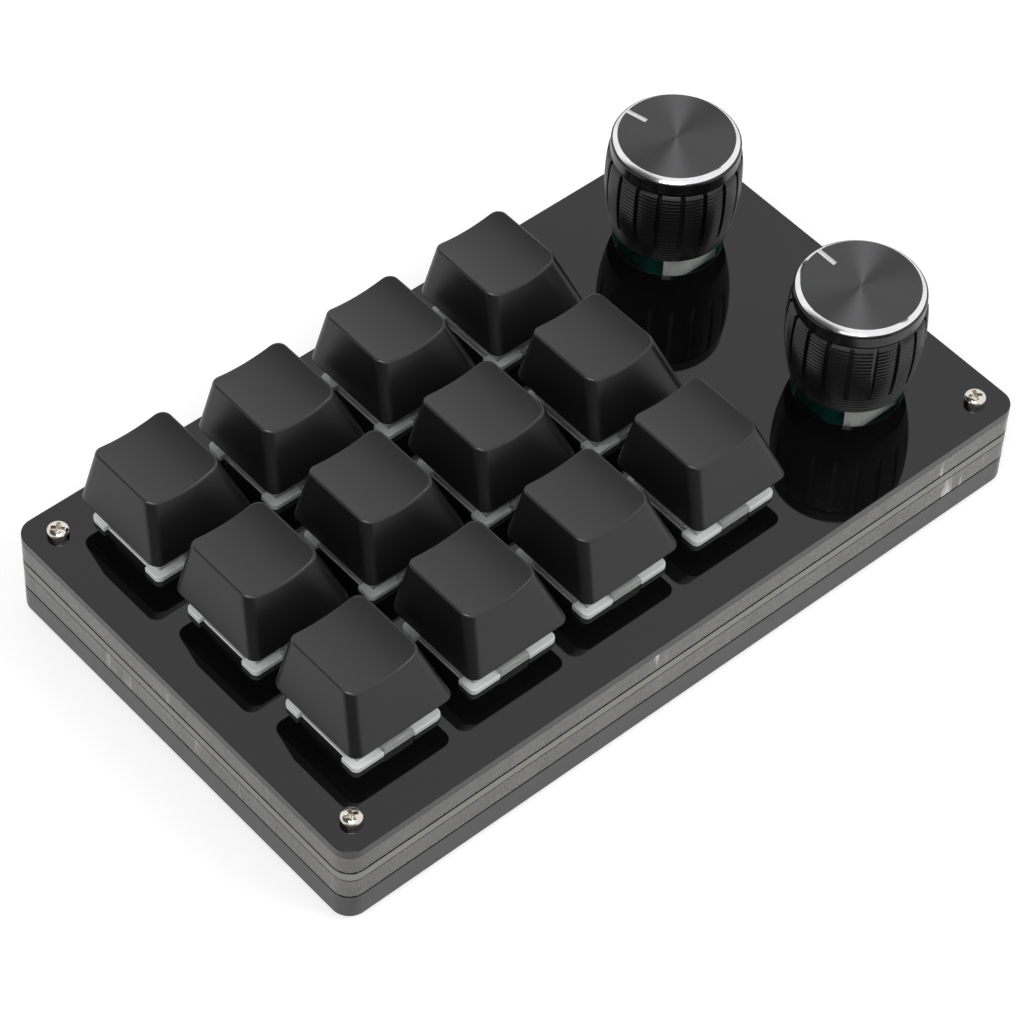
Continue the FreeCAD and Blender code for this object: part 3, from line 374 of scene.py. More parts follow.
def bake(piece):
    """Apply the modifiers and return the finished mesh."""
    show(piece)
    bpy.context.view_layer.update()
    seen = piece.evaluated_get(bpy.context.evaluated_depsgraph_get())
    mesh = bpy.data.meshes.new_from_object(seen)
    piece.modifiers.clear()
    piece.data = mesh
    return mesh


def add_bevel(piece, width, segments=2, angle=35.0):
    bevel = piece.modifiers.new("edge", "BEVEL")
    bevel.width = width * MM
    bevel.segments = segments
    bevel.limit_method = "ANGLE"
    bevel.angle_limit = math.radians(angle)
    bevel.harden_normals = True


def bevelled(name, mesh, width, segments, angle):
    """The mesh with its sharp edges rounded."""
    shaped = bpy.data.objects.new(name, mesh)
    add_bevel(shaped, width, segments, angle)
    finished = bake(shaped)
    bpy.data.objects.remove(shaped)
    return finished


def circle(radius, height, segments, start=0.0):
    """Points round the z axis at one level."""
    turns = [2 * math.pi * number / segments + start for number in range(segments)]
    return [(radius * math.cos(turn), radius * math.sin(turn), height) for turn in turns]


def rounded_ring(half_x, half_y, corner, per_corner=8, per_side=6):
    """Points of a rounded rectangle about the origin, anticlockwise."""
    points = []
    centres = [(1, -1, -90.0), (1, 1, 0.0), (-1, 1, 90.0), (-1, -1, 180.0)]

    def corner_point(side_x, side_y, degrees):
        angle = math.radians(degrees)
        x = side_x * (half_x - corner) + corner * math.cos(angle)
        y = side_y * (half_y - corner) + corner * math.sin(angle)
        return x, y

    for number, (side_x, side_y, start) in enumerate(centres):
        for step in range(per_corner + 1):
            points.append(corner_point(side_x, side_y, start + 90.0 * step / per_corner))
        next_x, next_y = corner_point(*centres[(number + 1) % 4])
        x, y = points[-1]
        for step in range(1, per_side):
            share = step / per_side
            points.append((x + (next_x - x) * share, y + (next_y - y) * share))
    return points


def skin_rings(rings, close_ends=False):
    """A mesh that joins rings of equal length, with flat faces over the ends if asked."""
    count = len(rings[0])
    points = [Vector(point) * MM for ring in rings for point in ring]
    faces = []
    for row in range(len(rings) - 1):
        low = row * count
        high = low + count
        for column in range(count):
            following = (column + 1) % count
            faces.append((low + column, low + following, high + following, high + column))
    if close_ends:
        last = (len(rings) - 1) * count
        faces.append(tuple(reversed(range(count))))
        faces.append(tuple(range(last, last + count)))
    mesh = bpy.data.meshes.new("rings")
    mesh.from_pydata(points, [], faces)
    face_out(mesh)
    return mesh


def face_out(mesh):
    """Turn every face of a closed mesh outwards."""
    clean = bmesh.new()
    clean.from_mesh(mesh)
    bmesh.ops.remove_doubles(clean, verts=clean.verts, dist=WELD)
    bmesh.ops.recalc_face_normals(clean, faces=clean.faces)
    clean.to_mesh(mesh)
    clean.free()


def paint(mesh, *finishes):
    mesh.materials.clear()
    for finish in finishes:
        mesh.materials.append(MATERIALS[finish])


def unit_block():
    """A block 1 unit wide about the origin, to be drawn out to size."""
    shape = bmesh.new()
    bmesh.ops.create_cube(shape, size=1.0)
    return shape


def as_cutter(name, shape):
    mesh = bpy.data.meshes.new(name)
    shape.to_mesh(mesh)
    shape.free()
    return bpy.data.objects.new(name, mesh)


def cut_away(piece, cutter):
    """Take a cutter's volume out of a piece and drop the cutter."""
    bpy.context.scene.collection.objects.link(cutter)
    boolean = piece.modifiers.new("cut", "BOOLEAN")
    boolean.operation = "DIFFERENCE"
    boolean.solver = "EXACT"
    boolean.object = cutter
    bake(piece)
    bpy.data.objects.remove(cutter)


def cut_mesh(name, mesh, cutters):
    """The mesh with each cutter's volume taken out."""
    shaped = bpy.data.objects.new(name, mesh)
    for cutter in cutters:
        cut_away(shaped, cutter)
    finished = shaped.data
    bpy.data.objects.remove(shaped)
    return finished


# Keycaps

CAP_FOOT = 18.1 / 2
CAP_TOP_X = 12.8 / 2
CAP_TOP_Y = 13.2 / 2
CAP_SHIFT = 2.1
CAP_HEIGHT = 8.3
CAP_CORNER = 1.7
CAP_EDGE = 0.32
CAP_WALL = 1.2
CAP_WALL_STEPS = 6
CAP_TOP_STEPS = 9
CAP_INNER_HEIGHT = 5.8
CAP_INNER_CORNER = 0.8
POST_RADIUS = 2.75
POST_FOOT = 2.0
POST_BORE_RADIUS = 2.05
POST_BORE_TOP = CAP_INNER_HEIGHT - 0.1
DISH_DEPTH = 0.9
DISH_HALF = CAP_TOP_X + 0.15
DISH_RADIUS = (DISH_HALF ** 2 + DISH_DEPTH ** 2) / (2 * DISH_DEPTH)
RIM_TRIES = 12


def dish_height(x):
    """Height of the dished top over a place across the cap."""
    return CAP_HEIGHT - DISH_DEPTH + DISH_RADIUS - math.sqrt(DISH_RADIUS ** 2 - x ** 2)


def cap_ring(height, inset=0.0, corner=CAP_CORNER):
    """Outline of the sloping walls at a height."""
    share = height / CAP_HEIGHT
    half_x = CAP_FOOT + (CAP_TOP_X - CAP_FOOT) * share - inset
    half_y = CAP_FOOT + (CAP_TOP_Y - CAP_FOOT) * share - inset
    return [(x, y + CAP_SHIFT * share) for x, y in rounded_ring(half_x, half_y, corner)]


def cap_rim():
    """Where the sloping walls meet the dish, found by stepping up the walls."""
    rim = []
    for number in range(len(cap_ring(0.0))):
        height = CAP_HEIGHT
        for _ in range(RIM_TRIES):
            x, y = cap_ring(height)[number]
            height = dish_height(x)
        rim.append((x, y, height))
    return rim


def cap_inside(count):
    """Rings from the post's bore out to the foot of the inner wall."""
    levels = [
        (POST_BORE_RADIUS, POST_BORE_TOP),
        (POST_BORE_RADIUS, POST_FOOT),
        (POST_RADIUS, POST_FOOT),
        (POST_RADIUS, CAP_INNER_HEIGHT),
    ]
    rings = [circle(radius, height, count, -math.pi / 4) for radius, height in levels]
    for height in (CAP_INNER_HEIGHT, 0.0):
        outline = cap_ring(height, CAP_WALL, CAP_INNER_CORNER)
        rings.append([(x, y, height) for x, y in outline])
    return rings


def cap_outside():
    """Rings from the foot of the outer wall to the middle of the dish."""
    rim = cap_rim()
    rings = []
    for step in range(CAP_WALL_STEPS):
        share = step / CAP_WALL_STEPS
        rings.append([
            (x + (top[0] - x) * share, y + (top[1] - y) * share, top[2] * share)
            for (x, y), top in zip(cap_ring(0.0), rim)
        ])
    rings.append(rim)
    for step in range(1, CAP_TOP_STEPS):
        share = 1.0 - step / CAP_TOP_STEPS
        rings.append([
            (x * share, CAP_SHIFT + (y - CAP_SHIFT) * share, dish_height(x * share))
            for x, y, height in rim
        ])
    return rings


def make_cap_mesh():
    mesh = skin_rings(cap_inside(len(cap_ring(0.0))) + cap_outside(), close_ends=True)
    paint(mesh, "keycap_grey")
    smooth(mesh, 30.0)
    return bevelled("cap_shape", mesh, CAP_EDGE, 4, 32.0)


def make_keycaps():
    mesh = make_cap_mesh()
    for number in KEYS:
        node = "keycap_" + number
        low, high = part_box(node)
        piece = bpy.data.objects.new("cap_skin_" + number, mesh)
        piece.location = ((low.x + high.x) / 2, low.y + CAP_FOOT * MM, low.z)
        link_piece(piece, body_of(node), [node])


# Return springs

SPRING_TURNS = 7
SPRING_WIRE = 0.2
SPRING_STEPS = 20
WIRE_SIDES = 8


def make_spring_mesh(radius, length):
    """A coil of round wire that stands on z = 0."""
    steps = SPRING_TURNS * SPRING_STEPS
    rings = []
    for step in range(steps + 1):
        turn = 2 * math.pi * SPRING_TURNS * step / steps
        rise = SPRING_WIRE + (length - 2 * SPRING_WIRE) * step / steps
        ring = []
        for side in range(WIRE_SIDES):
            around = 2 * math.pi * side / WIRE_SIDES
            reach = radius - SPRING_WIRE + SPRING_WIRE * math.cos(around)
            height = rise + SPRING_WIRE * math.sin(around)
            ring.append((reach * math.cos(turn), reach * math.sin(turn), height))
        rings.append(ring)
    mesh = skin_rings(rings, close_ends=True)
    paint(mesh, "spring_steel")
    smooth(mesh, 50.0)
    return mesh


def make_springs():
    """Coils of round wire in place of the CAD springs, each tied to its spring's body."""
    for number in KEYS:
        node = "key_spring_" + number
        low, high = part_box(node)
        length = (high.z - low.z) / MM
        mesh = make_spring_mesh((high.x - low.x) / 2 / MM, length)
        piece = bpy.data.objects.new("coil_" + number, mesh)
        piece.location = ((low.x + high.x) / 2, (low.y + high.y) / 2, low.z)
        link_piece(piece, body_of(node), [node])
        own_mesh(piece)


# Knobs

KNOB_HEIGHT = 17.4
RING_HEIGHT = 0.65
BAND_HEIGHT = 2.2
NECK_HEIGHT = 0.3
GRIP_TOP = KNOB_HEIGHT - RING_HEIGHT - BAND_HEIGHT - NECK_HEIGHT
GRIP_RADIUS = 10.35
GRIP_WIDEST = 9.6
GRIP_SWELL = 0.0134
GRIP_RIDGES = 21
GRIP_SLOTS = 18
LIP = 0.4
RIDGE_DEPTH = 0.16
# Shares of a ridge's pitch, and of its depth there
RIDGE_SHAPE = ((0.0, 0.0), (0.12, 0.05), (0.30, 0.55), (0.50, 1.0), (0.70, 0.55), (0.88, 0.05))
SLOT_RADIUS = 9.7
SLOT_REACH = 10.0
SLOT_FOOT = 1.0
SLOT_HALF = 0.35
# Degrees from a slot's wall
WALL_STEP = 0.12
SHOULDER_STEP = 0.7
RING_RADIUS = 9.5
DISC_RADIUS = 8.85
DISC_FALL = 0.02
BAND_RADIUS = 9.8
NECK_RADIUS = 9.3
WELL_RADIUS = 6.5
WELL_HEIGHT = 5.2
BORE_RADIUS = 3.03
KNOB_SEGMENTS = 160
POINTER_HALF = 0.38
POINTER_INNER = 5.4
POINTER_OUTER = 11.0
POINTER_DEPTH = 0.28
GRUB_RADIUS = 1.52
GRUB_LENGTH = 8.0
GRUB_MIDDLE = (0.0, 7.0, 9.4)
TIP_RADIUS = 0.05
KNOB_FINISHES = ("knob_black", "knob_disc", "knob_ring", "knob_pointer")
KNOB_SMOOTH = 22.0


def grip_radius(height):
    return GRIP_RADIUS - GRIP_SWELL * (height - GRIP_WIDEST) ** 2


def grip_angles():
    """Directions round the grip, close together at the slots' walls, and whether each is in a slot."""
    sector = 360.0 / GRIP_SLOTS
    slot = math.degrees(SLOT_HALF / SLOT_REACH)
    left = [-8.0, -6.0, -4.0, -slot - SHOULDER_STEP, -slot - WALL_STEP, -slot + WALL_STEP]
    right = [slot - WALL_STEP, slot + WALL_STEP, slot + SHOULDER_STEP, 4.0, 6.0, 8.0, 10.0]
    steps = left + [0.0] + right
    return [
        (sector * number + step, abs(step) < slot)
        for number in range(GRIP_SLOTS)
        for step in steps
    ]


def grip_levels():
    """Levels up the grip with the depth of the ridges' grooves at each."""
    pitch = (GRIP_TOP - LIP) / GRIP_RIDGES
    levels = []
    for number in range(GRIP_RIDGES):
        for share, drop in RIDGE_SHAPE:
            levels.append((pitch * (number + share), drop * RIDGE_DEPTH))
    levels.append((GRIP_TOP - LIP, 0.0))
    return levels


def grip_ring(directions, height, reach, slotted=True):
    """Points round the grip at one level, drawn in where the slots are."""
    points = []
    for angle, in_slot in directions:
        radius = reach
        if slotted and in_slot and height > SLOT_FOOT:
            radius = min(radius, SLOT_RADIUS)
        turn = math.radians(angle)
        points.append((radius * math.cos(turn), radius * math.sin(turn), height))
    return points


def make_grub_hole():
    hole = bmesh.new()
    radius = GRUB_RADIUS * MM
    bmesh.ops.create_cone(
        hole, cap_ends=True, segments=32, radius1=radius, radius2=radius, depth=GRUB_LENGTH * MM)
    bmesh.ops.rotate(hole, verts=hole.verts, matrix=Matrix.Rotation(math.pi / 2, 3, "X"))
    bmesh.ops.translate(hole, verts=hole.verts, vec=Vector(GRUB_MIDDLE) * MM)
    return as_cutter("grub_hole", hole)


def make_grip_mesh():
    """Barrel with ridges round it, upright slots, a lip and the hole for the grub screw."""
    directions = grip_angles()
    bore = [(BORE_RADIUS, GRIP_TOP), (BORE_RADIUS, WELL_HEIGHT)]
    well = [(WELL_RADIUS, WELL_HEIGHT), (WELL_RADIUS, 0.0)]
    rings = [grip_ring(directions, height, radius, slotted=False) for radius, height in bore + well]
    for height, drop in grip_levels():
        rings.append(grip_ring(directions, height, grip_radius(height) - drop))
    top_radius = grip_radius(GRIP_TOP)
    rings.append(grip_ring(directions, GRIP_TOP - LIP / 2, top_radius - LIP * 0.35))
    rings.append(grip_ring(directions, GRIP_TOP, top_radius - LIP))
    rings.append(rings[0])
    mesh = skin_rings(rings)
    paint(mesh, "knob_black")
    finished = cut_mesh("grip_shape", mesh, [make_grub_hole()])
    smooth(finished, KNOB_SMOOTH)
    return finished


def make_pointer_slot():
    low = Vector((-POINTER_HALF, POINTER_INNER, KNOB_HEIGHT - POINTER_DEPTH))
    high = Vector((POINTER_HALF, POINTER_OUTER, KNOB_HEIGHT + 1.0))
    size = high - low
    middle = (high + low) / 2
    slot = unit_block()
    for vertex in slot.verts:
        x, y, z = vertex.co
        vertex.co = (Vector((x * size.x, y * size.y, z * size.z)) + middle) * MM
    return as_cutter("pointer_slot", slot)


def knob_finish(spot):
    """Which of the knob's finishes a face of its top has, by the face's middle."""
    reach = math.hypot(spot.x, spot.y)
    depth = KNOB_HEIGHT - spot.z
    in_line = abs(spot.x) < POINTER_HALF + 0.01 and spot.y > POINTER_INNER - 0.1
    if in_line and 0.1 < depth < 0.3 and reach < RING_RADIUS + 0.25:
        return KNOB_FINISHES.index("knob_pointer")
    if depth < RING_HEIGHT and reach > DISC_RADIUS - 0.02:
        return KNOB_FINISHES.index("knob_ring")
    if depth < 0.2:
        return KNOB_FINISHES.index("knob_disc")
    return KNOB_FINISHES.index("knob_black")


def make_knob_top_mesh():
    """Spun disc, bright ring and smooth band, with the pointer cut through disc and ring."""
    band_foot = GRIP_TOP + NECK_HEIGHT
    band_top = KNOB_HEIGHT - RING_HEIGHT
    profile = [
        (BORE_RADIUS, GRIP_TOP),
        (NECK_RADIUS, GRIP_TOP),
        (NECK_RADIUS, band_foot),
        (BAND_RADIUS - 0.1, band_foot),
        (BAND_RADIUS, band_foot + 0.1),
        (BAND_RADIUS, band_top - 0.3),
        (BAND_RADIUS - 0.12, band_top - 0.08),
        (RING_RADIUS, band_top),
        (DISC_RADIUS, KNOB_HEIGHT),
        (DISC_RADIUS * 0.66, KNOB_HEIGHT - DISC_FALL),
        (DISC_RADIUS * 0.33, KNOB_HEIGHT - 2 * DISC_FALL),
        (TIP_RADIUS, KNOB_HEIGHT - 3 * DISC_FALL),
    ]
    rings = [circle(radius, height, KNOB_SEGMENTS) for radius, height in profile]
    mesh = skin_rings(rings, close_ends=True)
    finished = cut_mesh("top_shape", mesh, [make_pointer_slot()])
    paint(finished, *KNOB_FINISHES)
    for face in finished.polygons:
        face.material_index = knob_finish(face.center / MM)
    smooth(finished, KNOB_SMOOTH)
    return finished


def make_knobs():
    grip = make_grip_mesh()
    top = make_knob_top_mesh()
    for number, turn in KNOB_TURNS.items():
        node = "knob_" + number
        rotor_low, rotor_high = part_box("encoder_rotor_" + number)
        centre = (rotor_low + rotor_high) / 2
        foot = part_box(node)[0].z
        for name, mesh in (("knob_grip_", grip), ("knob_top_", top)):
            piece = bpy.data.objects.new(name + number, mesh)
            piece.location = (centre.x, centre.y, foot)
            piece.rotation_euler = (0.0, 0.0, math.radians(turn))
            link_piece(piece, body_of(node), [node])


# Case and switches

FLANGE_REACH = 7.8
FLANGE_CORNER = 0.9
FLAT_ANGLE = 0.5
# Node, finish, width of the rounded edge in millimetres, and steps across that edge
SOFTENED = [
    ("top_plate", "black_acrylic", 0.45, 4),
    ("bottom_plate", "black_acrylic", 0.20, 3),
    ("upper_frame", "clear_acrylic", 0.16, 3),
    ("lower_frame", "clear_acrylic", 0.16, 3),
    ("circuit_board", "board_green", 0.05, 1),
    ("rubber_feet", "foot_rubber", 0.25, 3),
    ("usb_port", "socket_steel", 0.06, 2),
    ("encoder_covers", "encoder_zinc", 0.15, 3),
    ("switch_bases", "switch_white", 0.14, 2),
    ("switch_tops", "switch_clear", 0.12, 2),
]
DRESSED = {
    "case_inserts": "insert_brass",
    "board_components": "chip_black",
    "switch_pins": "pin_tin",
    "encoder_pins": "pin_tin",
    "encoder_bases": "encoder_black",
}
DRESSED_KNOB_PARTS = {
    "encoder_rotor_": "encoder_black",
    "encoder_shaft_": "shaft_aluminium",
    "knob_grub_": "grub_steel",
}


def flange_corners(shape):
    """The upright edges at the outer corners of the switch flanges."""
    centres = []
    for number in KEYS:
        low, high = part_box("key_stem_" + number)
        centres.append((low + high) / 2)
    picked = []
    for edge in shape.edges:
        first, last = (vertex.co for vertex in edge.verts)
        if abs(first.x - last.x) > WELD or abs(first.y - last.y) > WELD:
            continue
        for centre in centres:
            across = abs(abs(first.x - centre.x) - FLANGE_REACH * MM)
            along = abs(abs(first.y - centre.y) - FLANGE_REACH * MM)
            if across < WELD and along < WELD:
                picked.append(edge)
    return picked


def soften(node, finish, width, segments):
    """Stand in for a CAD node with a copy whose sharp edges are rounded a little."""
    mesh = frame["nodes"][node].data.copy()
    clean = bmesh.new()
    clean.from_mesh(mesh)
    bmesh.ops.remove_doubles(clean, verts=clean.verts, dist=WELD)
    flat = math.radians(FLAT_ANGLE)
    bmesh.ops.dissolve_limit(clean, angle_limit=flat, verts=clean.verts, edges=clean.edges)
    if node == "switch_bases":
        bmesh.ops.bevel(
            clean, geom=flange_corners(clean), offset=FLANGE_CORNER * MM, offset_type="OFFSET",
            segments=4, profile=0.5, affect="EDGES")
    clean.to_mesh(mesh)
    clean.free()
    paint(mesh, finish)
    smooth(mesh)
    piece = bpy.data.objects.new(node + "_finished", mesh)
    add_bevel(piece, width, segments)
    link_piece(piece, body_of(node), [node])


def make_case():
    for node, finish, width, segments in SOFTENED:
        soften(node, finish, width, segments)


def dress_hidden_nodes():
    """Give the CAD nodes that keep their own meshes a finish."""
    finishes = dict(DRESSED)
    for number in KEYS:
        finishes["key_stem_" + number] = "stem_plastic"
    for number in KNOB_TURNS:
        for part, finish in DRESSED_KNOB_PARTS.items():
            finishes[part + number] = finish
    for node, finish in finishes.items():
        paint(frame["nodes"][node].data, finish)


# Painted shade in the gaps between the layers

SHADE_BAND = 0.25
SHADE_BAND_DROP = 0.10
THIN_SHADE_BAND = 0.12
SHADE_BAND_INSET = -0.01
SHADE_BAND_WIDTH = 1.0
CASE_CORNER = 3.0


def make_seams():
    """Thin black bands of painted shade where the layers meet, standing in for the shade in the gaps,
    level with the case's sides.
    """
    low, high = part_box("upper_frame")
    half_x = (high.x - low.x) / 2 / MM
    half_y = (high.y - low.y) / 2 / MM
    board_top = low.z / MM
    lower_foot, lower_top = (corner.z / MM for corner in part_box("lower_frame"))
    levels = {
        "board_top": (board_top - SHADE_BAND_DROP, board_top + SHADE_BAND),
        "board_foot": (lower_top - THIN_SHADE_BAND, lower_top),
        "foot": (lower_foot, lower_foot + SHADE_BAND),
    }
    for name, (bottom, top) in levels.items():
        section = ((SHADE_BAND_WIDTH, bottom), (SHADE_BAND_INSET, bottom), (SHADE_BAND_INSET, top), (SHADE_BAND_WIDTH, top))
        rings = []
        for inset, level in section:
            outline = rounded_ring(half_x - inset, half_y - inset, CASE_CORNER - inset)
            rings.append([(x, y, level) for x, y in outline])
        rings.append(rings[0])
        mesh = skin_rings(rings)
        # The band is painted black to stand in for the shade in the gap.
        paint(mesh, "seam_black")
        smooth(mesh)
        piece = bpy.data.objects.new("seam_" + name, mesh)
        link_piece(piece, body_of("upper_frame"))


# Case screws

CAD_HEAD_RADIUS = 1.75
HEAD_RADIUS = 1.66
HEAD_HEIGHT = 1.35
HEAD_CHAMFER = 0.06
DOME_HEIGHT = 0.62
DOME_STEPS = 8
DOME_FULLNESS = 0.6
SHANK_RADIUS = 1.0
SHANK_CHAMFER = 0.2
RECESS_TOP = 2.3
RECESS_FOOT = 1.2
RECESS_WIDTH = 0.62
RECESS_DEPTH = 0.85
RECESS_TAPER = 0.6
RECESS_RISE = 0.2
SCREW_SEGMENTS = 56
SCREW_EDGE = 0.05
SCREW_TURN = 1.3


def screw_profile(head_top):
    """Radius and height up the shank, round the head and over its dome."""
    head_foot = head_top - HEAD_HEIGHT
    side = head_top - DOME_HEIGHT
    profile = [
        (TIP_RADIUS, 0.0),
        (SHANK_RADIUS - SHANK_CHAMFER, 0.0),
        (SHANK_RADIUS, SHANK_CHAMFER),
        (SHANK_RADIUS, head_foot),
        (HEAD_RADIUS - HEAD_CHAMFER, head_foot),
        (HEAD_RADIUS, head_foot + HEAD_CHAMFER),
        (HEAD_RADIUS, side),
    ]
    for step in range(1, DOME_STEPS):
        turn = math.pi / 2 * step / DOME_STEPS
        radius = HEAD_RADIUS * math.cos(turn) ** DOME_FULLNESS
        profile.append((radius, side + (head_top - side) * math.sin(turn)))
    profile.append((TIP_RADIUS, head_top))
    return profile


def make_recess_arm(head_top, turn):
    """One bar of the cross recess, narrower at its foot."""
    arm = unit_block()
    for vertex in arm.verts:
        upper = vertex.co.z > 0
        length = RECESS_TOP if upper else RECESS_FOOT
        width = RECESS_WIDTH if upper else RECESS_WIDTH * RECESS_TAPER
        height = head_top + RECESS_RISE if upper else head_top - RECESS_DEPTH
        vertex.co = Vector((vertex.co.x * length, vertex.co.y * width, height)) * MM
    bmesh.ops.rotate(arm, verts=arm.verts, matrix=Matrix.Rotation(turn, 3, "Z"))
    return as_cutter("recess_arm", arm)


def make_screw_mesh(head_top):
    """Domed head with a tapered cross recess, and the plain shank below it."""
    rings = [circle(radius, height, SCREW_SEGMENTS) for radius, height in screw_profile(head_top)]
    mesh = skin_rings(rings, close_ends=True)
    arms = [make_recess_arm(head_top, turn) for turn in (0.0, math.pi / 2)]
    finished = cut_mesh("screw_shape", mesh, arms)
    paint(finished, "screw_nickel")
    smooth(finished, 30.0)
    return bevelled("screw_round", finished, SCREW_EDGE, 2, 40.0)


def make_screws():
    low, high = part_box("case_screws")
    mesh = make_screw_mesh((high.z - low.z) / MM)
    reach_x = high.x - CAD_HEAD_RADIUS * MM
    reach_y = high.y - CAD_HEAD_RADIUS * MM
    places = [(-reach_x, -reach_y), (reach_x, -reach_y), (-reach_x, reach_y), (reach_x, reach_y)]
    for number, (x, y) in enumerate(places, 1):
        piece = bpy.data.objects.new("screw_" + str(number), mesh)
        piece.location = (x, y, low.z)
        piece.rotation_euler = (0.0, 0.0, number * SCREW_TURN)
        link_piece(piece, body_of("case_screws"), ["case_screws"])


# Studio

TO_CAMERA = (-0.688, -0.726, 0.0)
DARK_SIDE = 0.05
FLOOR_REACH = 6.0
FLOOR_LEVEL = -0.0001
FLOOR_COLOR = 0.62
FLOOR_LIFT = 0.56
FLOOR_SHADE = 0.20
FLOOR_FACING = (0.60, 0.75)
FLOOR_AWAY = (0.14, 0.24)
ROOF_CENTRE = (-0.251, 0.251, 0.935)
ROOF_EDGE = (0.80, 0.92)
ROOF_LEVELS = (1.28, 0.12)
LOW_HEIGHT = (0.42, 0.50)
LOW_FACING = (0.55, 0.72)
PATCH_HEIGHTS = ((0.36, 0.40), (0.48, 0.53))
PATCH_SIDES = ((0.03, 0.08), (0.25, 0.31))
GATHERED_LIGHT = 0.55
LAMP_AIM = (0.0, 0.0, 0.02)
CAMERA_PLACE = (-0.26637, -0.27861, 0.45889)
CAMERA_RIGHT = (0.75270, -0.65745, 0.03480)
CAMERA_UP = (0.48451, 0.58895, 0.64683)
CAMERA_AHEAD = (0.44575, 0.47001, -0.76184)
SENSOR_WIDTH = 36.0
FOCAL_LENGTH = 142.51


def make_floor():
    """Pale floor, dark to reflections on the photographer's side."""
    material = bpy.data.materials.new("studio_floor")
    material.use_nodes = True
    nodes = Tree(material.node_tree)
    surface = material.node_tree.nodes["Principled BSDF"]
    surface.inputs["Base Color"].default_value = (FLOOR_COLOR, FLOOR_COLOR, FLOOR_COLOR, 1.0)
    surface.inputs["Roughness"].default_value = 0.9
    surface.inputs["Specular IOR Level"].default_value = 0.0
    lift = nodes.add("ShaderNodeEmission")
    lift.inputs["Strength"].default_value = FLOOR_LIFT
    both = nodes.add("ShaderNodeAddShader")
    nodes.link(surface.outputs["BSDF"], both.inputs[0])
    nodes.link(lift.outputs["Emission"], both.inputs[1])
    chosen = nodes.mix_shaders(nodes.seen_rays(), surface.outputs["BSDF"], both.outputs["Shader"])
    spot = nodes.add("ShaderNodeNewGeometry").outputs["Position"]
    direction = nodes.add("ShaderNodeVectorMath", operation="NORMALIZE")
    nodes.link(spot, direction.inputs[0])
    facing = nodes.step(nodes.dot(direction.outputs["Vector"], TO_CAMERA), FLOOR_FACING)
    away = nodes.step(nodes.dot(spot, TO_CAMERA), FLOOR_AWAY)
    zone = nodes.math("MAXIMUM", nodes.math("MULTIPLY", facing, away), FLOOR_SHADE)
    mirrored = nodes.add("ShaderNodeLightPath").outputs["Is Glossy Ray"]
    dark = nodes.add("ShaderNodeEmission")
    dark.inputs["Strength"].default_value = DARK_SIDE
    shade = nodes.math("MULTIPLY", zone, mirrored)
    final = nodes.mix_shaders(shade, chosen, dark.outputs["Emission"])
    nodes.link(final, material.node_tree.nodes["Material Output"].inputs["Surface"])
    mesh = bpy.data.meshes.new("floor")
    signs = [(-1, -1), (1, -1), (1, 1), (-1, 1)]
    corners = [(x * FLOOR_REACH, y * FLOOR_REACH, FLOOR_LEVEL) for x, y in signs]
    mesh.from_pydata(corners, [], [(0, 1, 2, 3)])
    mesh.materials.append(material)
    floor = bpy.data.objects.new("floor", mesh)
    bpy.context.scene.collection.objects.link(floor)


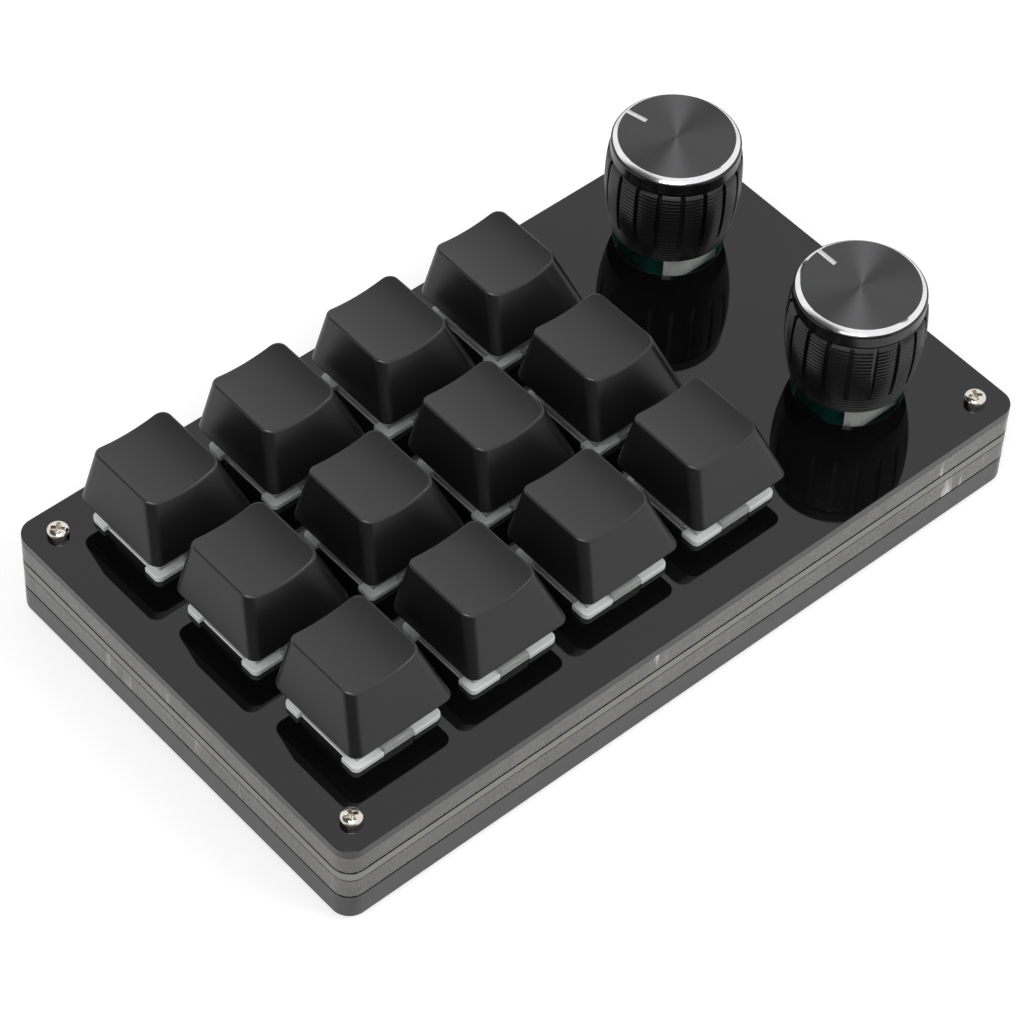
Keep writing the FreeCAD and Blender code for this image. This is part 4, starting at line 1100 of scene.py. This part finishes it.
def make_world():
    """White surroundings as seen and mirrored, dark overhead and low on the photographer's side."""
    world = bpy.data.worlds.new("studio")
    bpy.context.scene.world = world
    world.use_nodes = True
    world.node_tree.nodes.clear()
    nodes = Tree(world.node_tree)
    direction = nodes.add("ShaderNodeTexCoord").outputs["Generated"]
    height = nodes.part_of(direction, "Z")
    facing = nodes.dot(direction, TO_CAMERA)
    roof = nodes.step(nodes.dot(direction, ROOF_CENTRE), ROOF_EDGE, ROOF_LEVELS)
    low_height = nodes.step(height, LOW_HEIGHT, FALLING)
    low_part = nodes.math("MULTIPLY", low_height, nodes.step(facing, LOW_FACING))
    patch_height = nodes.band(height, *PATCH_HEIGHTS)
    patch_side = nodes.band(facing, *PATCH_SIDES)
    shade = nodes.math("MAXIMUM", low_part, nodes.math("MULTIPLY", patch_height, patch_side))
    bright = nodes.math("SUBTRACT", 1.0, nodes.math("MULTIPLY", shade, 1.0 - DARK_SIDE))
    shown = nodes.add("ShaderNodeBackground")
    nodes.link(nodes.math("MULTIPLY", roof, bright), shown.inputs["Strength"])
    gathered = nodes.add("ShaderNodeBackground")
    gathered.inputs["Strength"].default_value = GATHERED_LIGHT
    backgrounds = [node.outputs["Background"] for node in (gathered, shown)]
    mixed = nodes.mix_shaders(nodes.seen_rays(), *backgrounds)
    output = nodes.add("ShaderNodeOutputWorld")
    nodes.link(mixed, output.inputs["Surface"])


def make_lamp(name, place, size, energy, mirrored=False, spread_light=True):
    lamp = bpy.data.lights.new(name, "AREA")
    lamp.shape = "RECTANGLE"
    lamp.size, lamp.size_y = size
    lamp.energy = energy
    holder = bpy.data.objects.new(name, lamp)
    holder.location = place
    holder.rotation_mode = "QUATERNION"
    aim = Vector(LAMP_AIM) - Vector(place)
    holder.rotation_quaternion = aim.to_track_quat("-Z", "Y")
    holder.visible_glossy = mirrored
    holder.visible_diffuse = spread_light
    bpy.context.scene.collection.objects.link(holder)


def make_camera():
    camera = bpy.data.cameras.new("photo_camera")
    camera.sensor_width = SENSOR_WIDTH
    camera.lens = FOCAL_LENGTH
    camera.clip_start = 0.01
    camera.clip_end = 50.0
    holder = bpy.data.objects.new("photo_camera", camera)
    axes = (Vector(CAMERA_RIGHT), Vector(CAMERA_UP), -Vector(CAMERA_AHEAD))
    turned = Matrix(axes).transposed().to_4x4()
    holder.matrix_world = Matrix.Translation(CAMERA_PLACE) @ turned
    bpy.context.scene.collection.objects.link(holder)
    bpy.context.scene.camera = holder


bpy.context.scene.view_settings.view_transform = "Standard"
make_camera()
make_world()
make_floor()
make_lamp("left_box", (-0.9, -0.2, 0.9), (0.9, 0.7), 7.2)
make_lamp("right_box", (0.7, -0.8, 0.9), (0.9, 0.7), 9.0)
make_lamp("roof_box", (-0.1145, -0.1208, 0.782), (0.33, 0.33), 3.4, mirrored=True, spread_light=False)
make_case()
make_seams()
make_screws()
dress_hidden_nodes()
make_keycaps()
make_springs()
make_knobs()
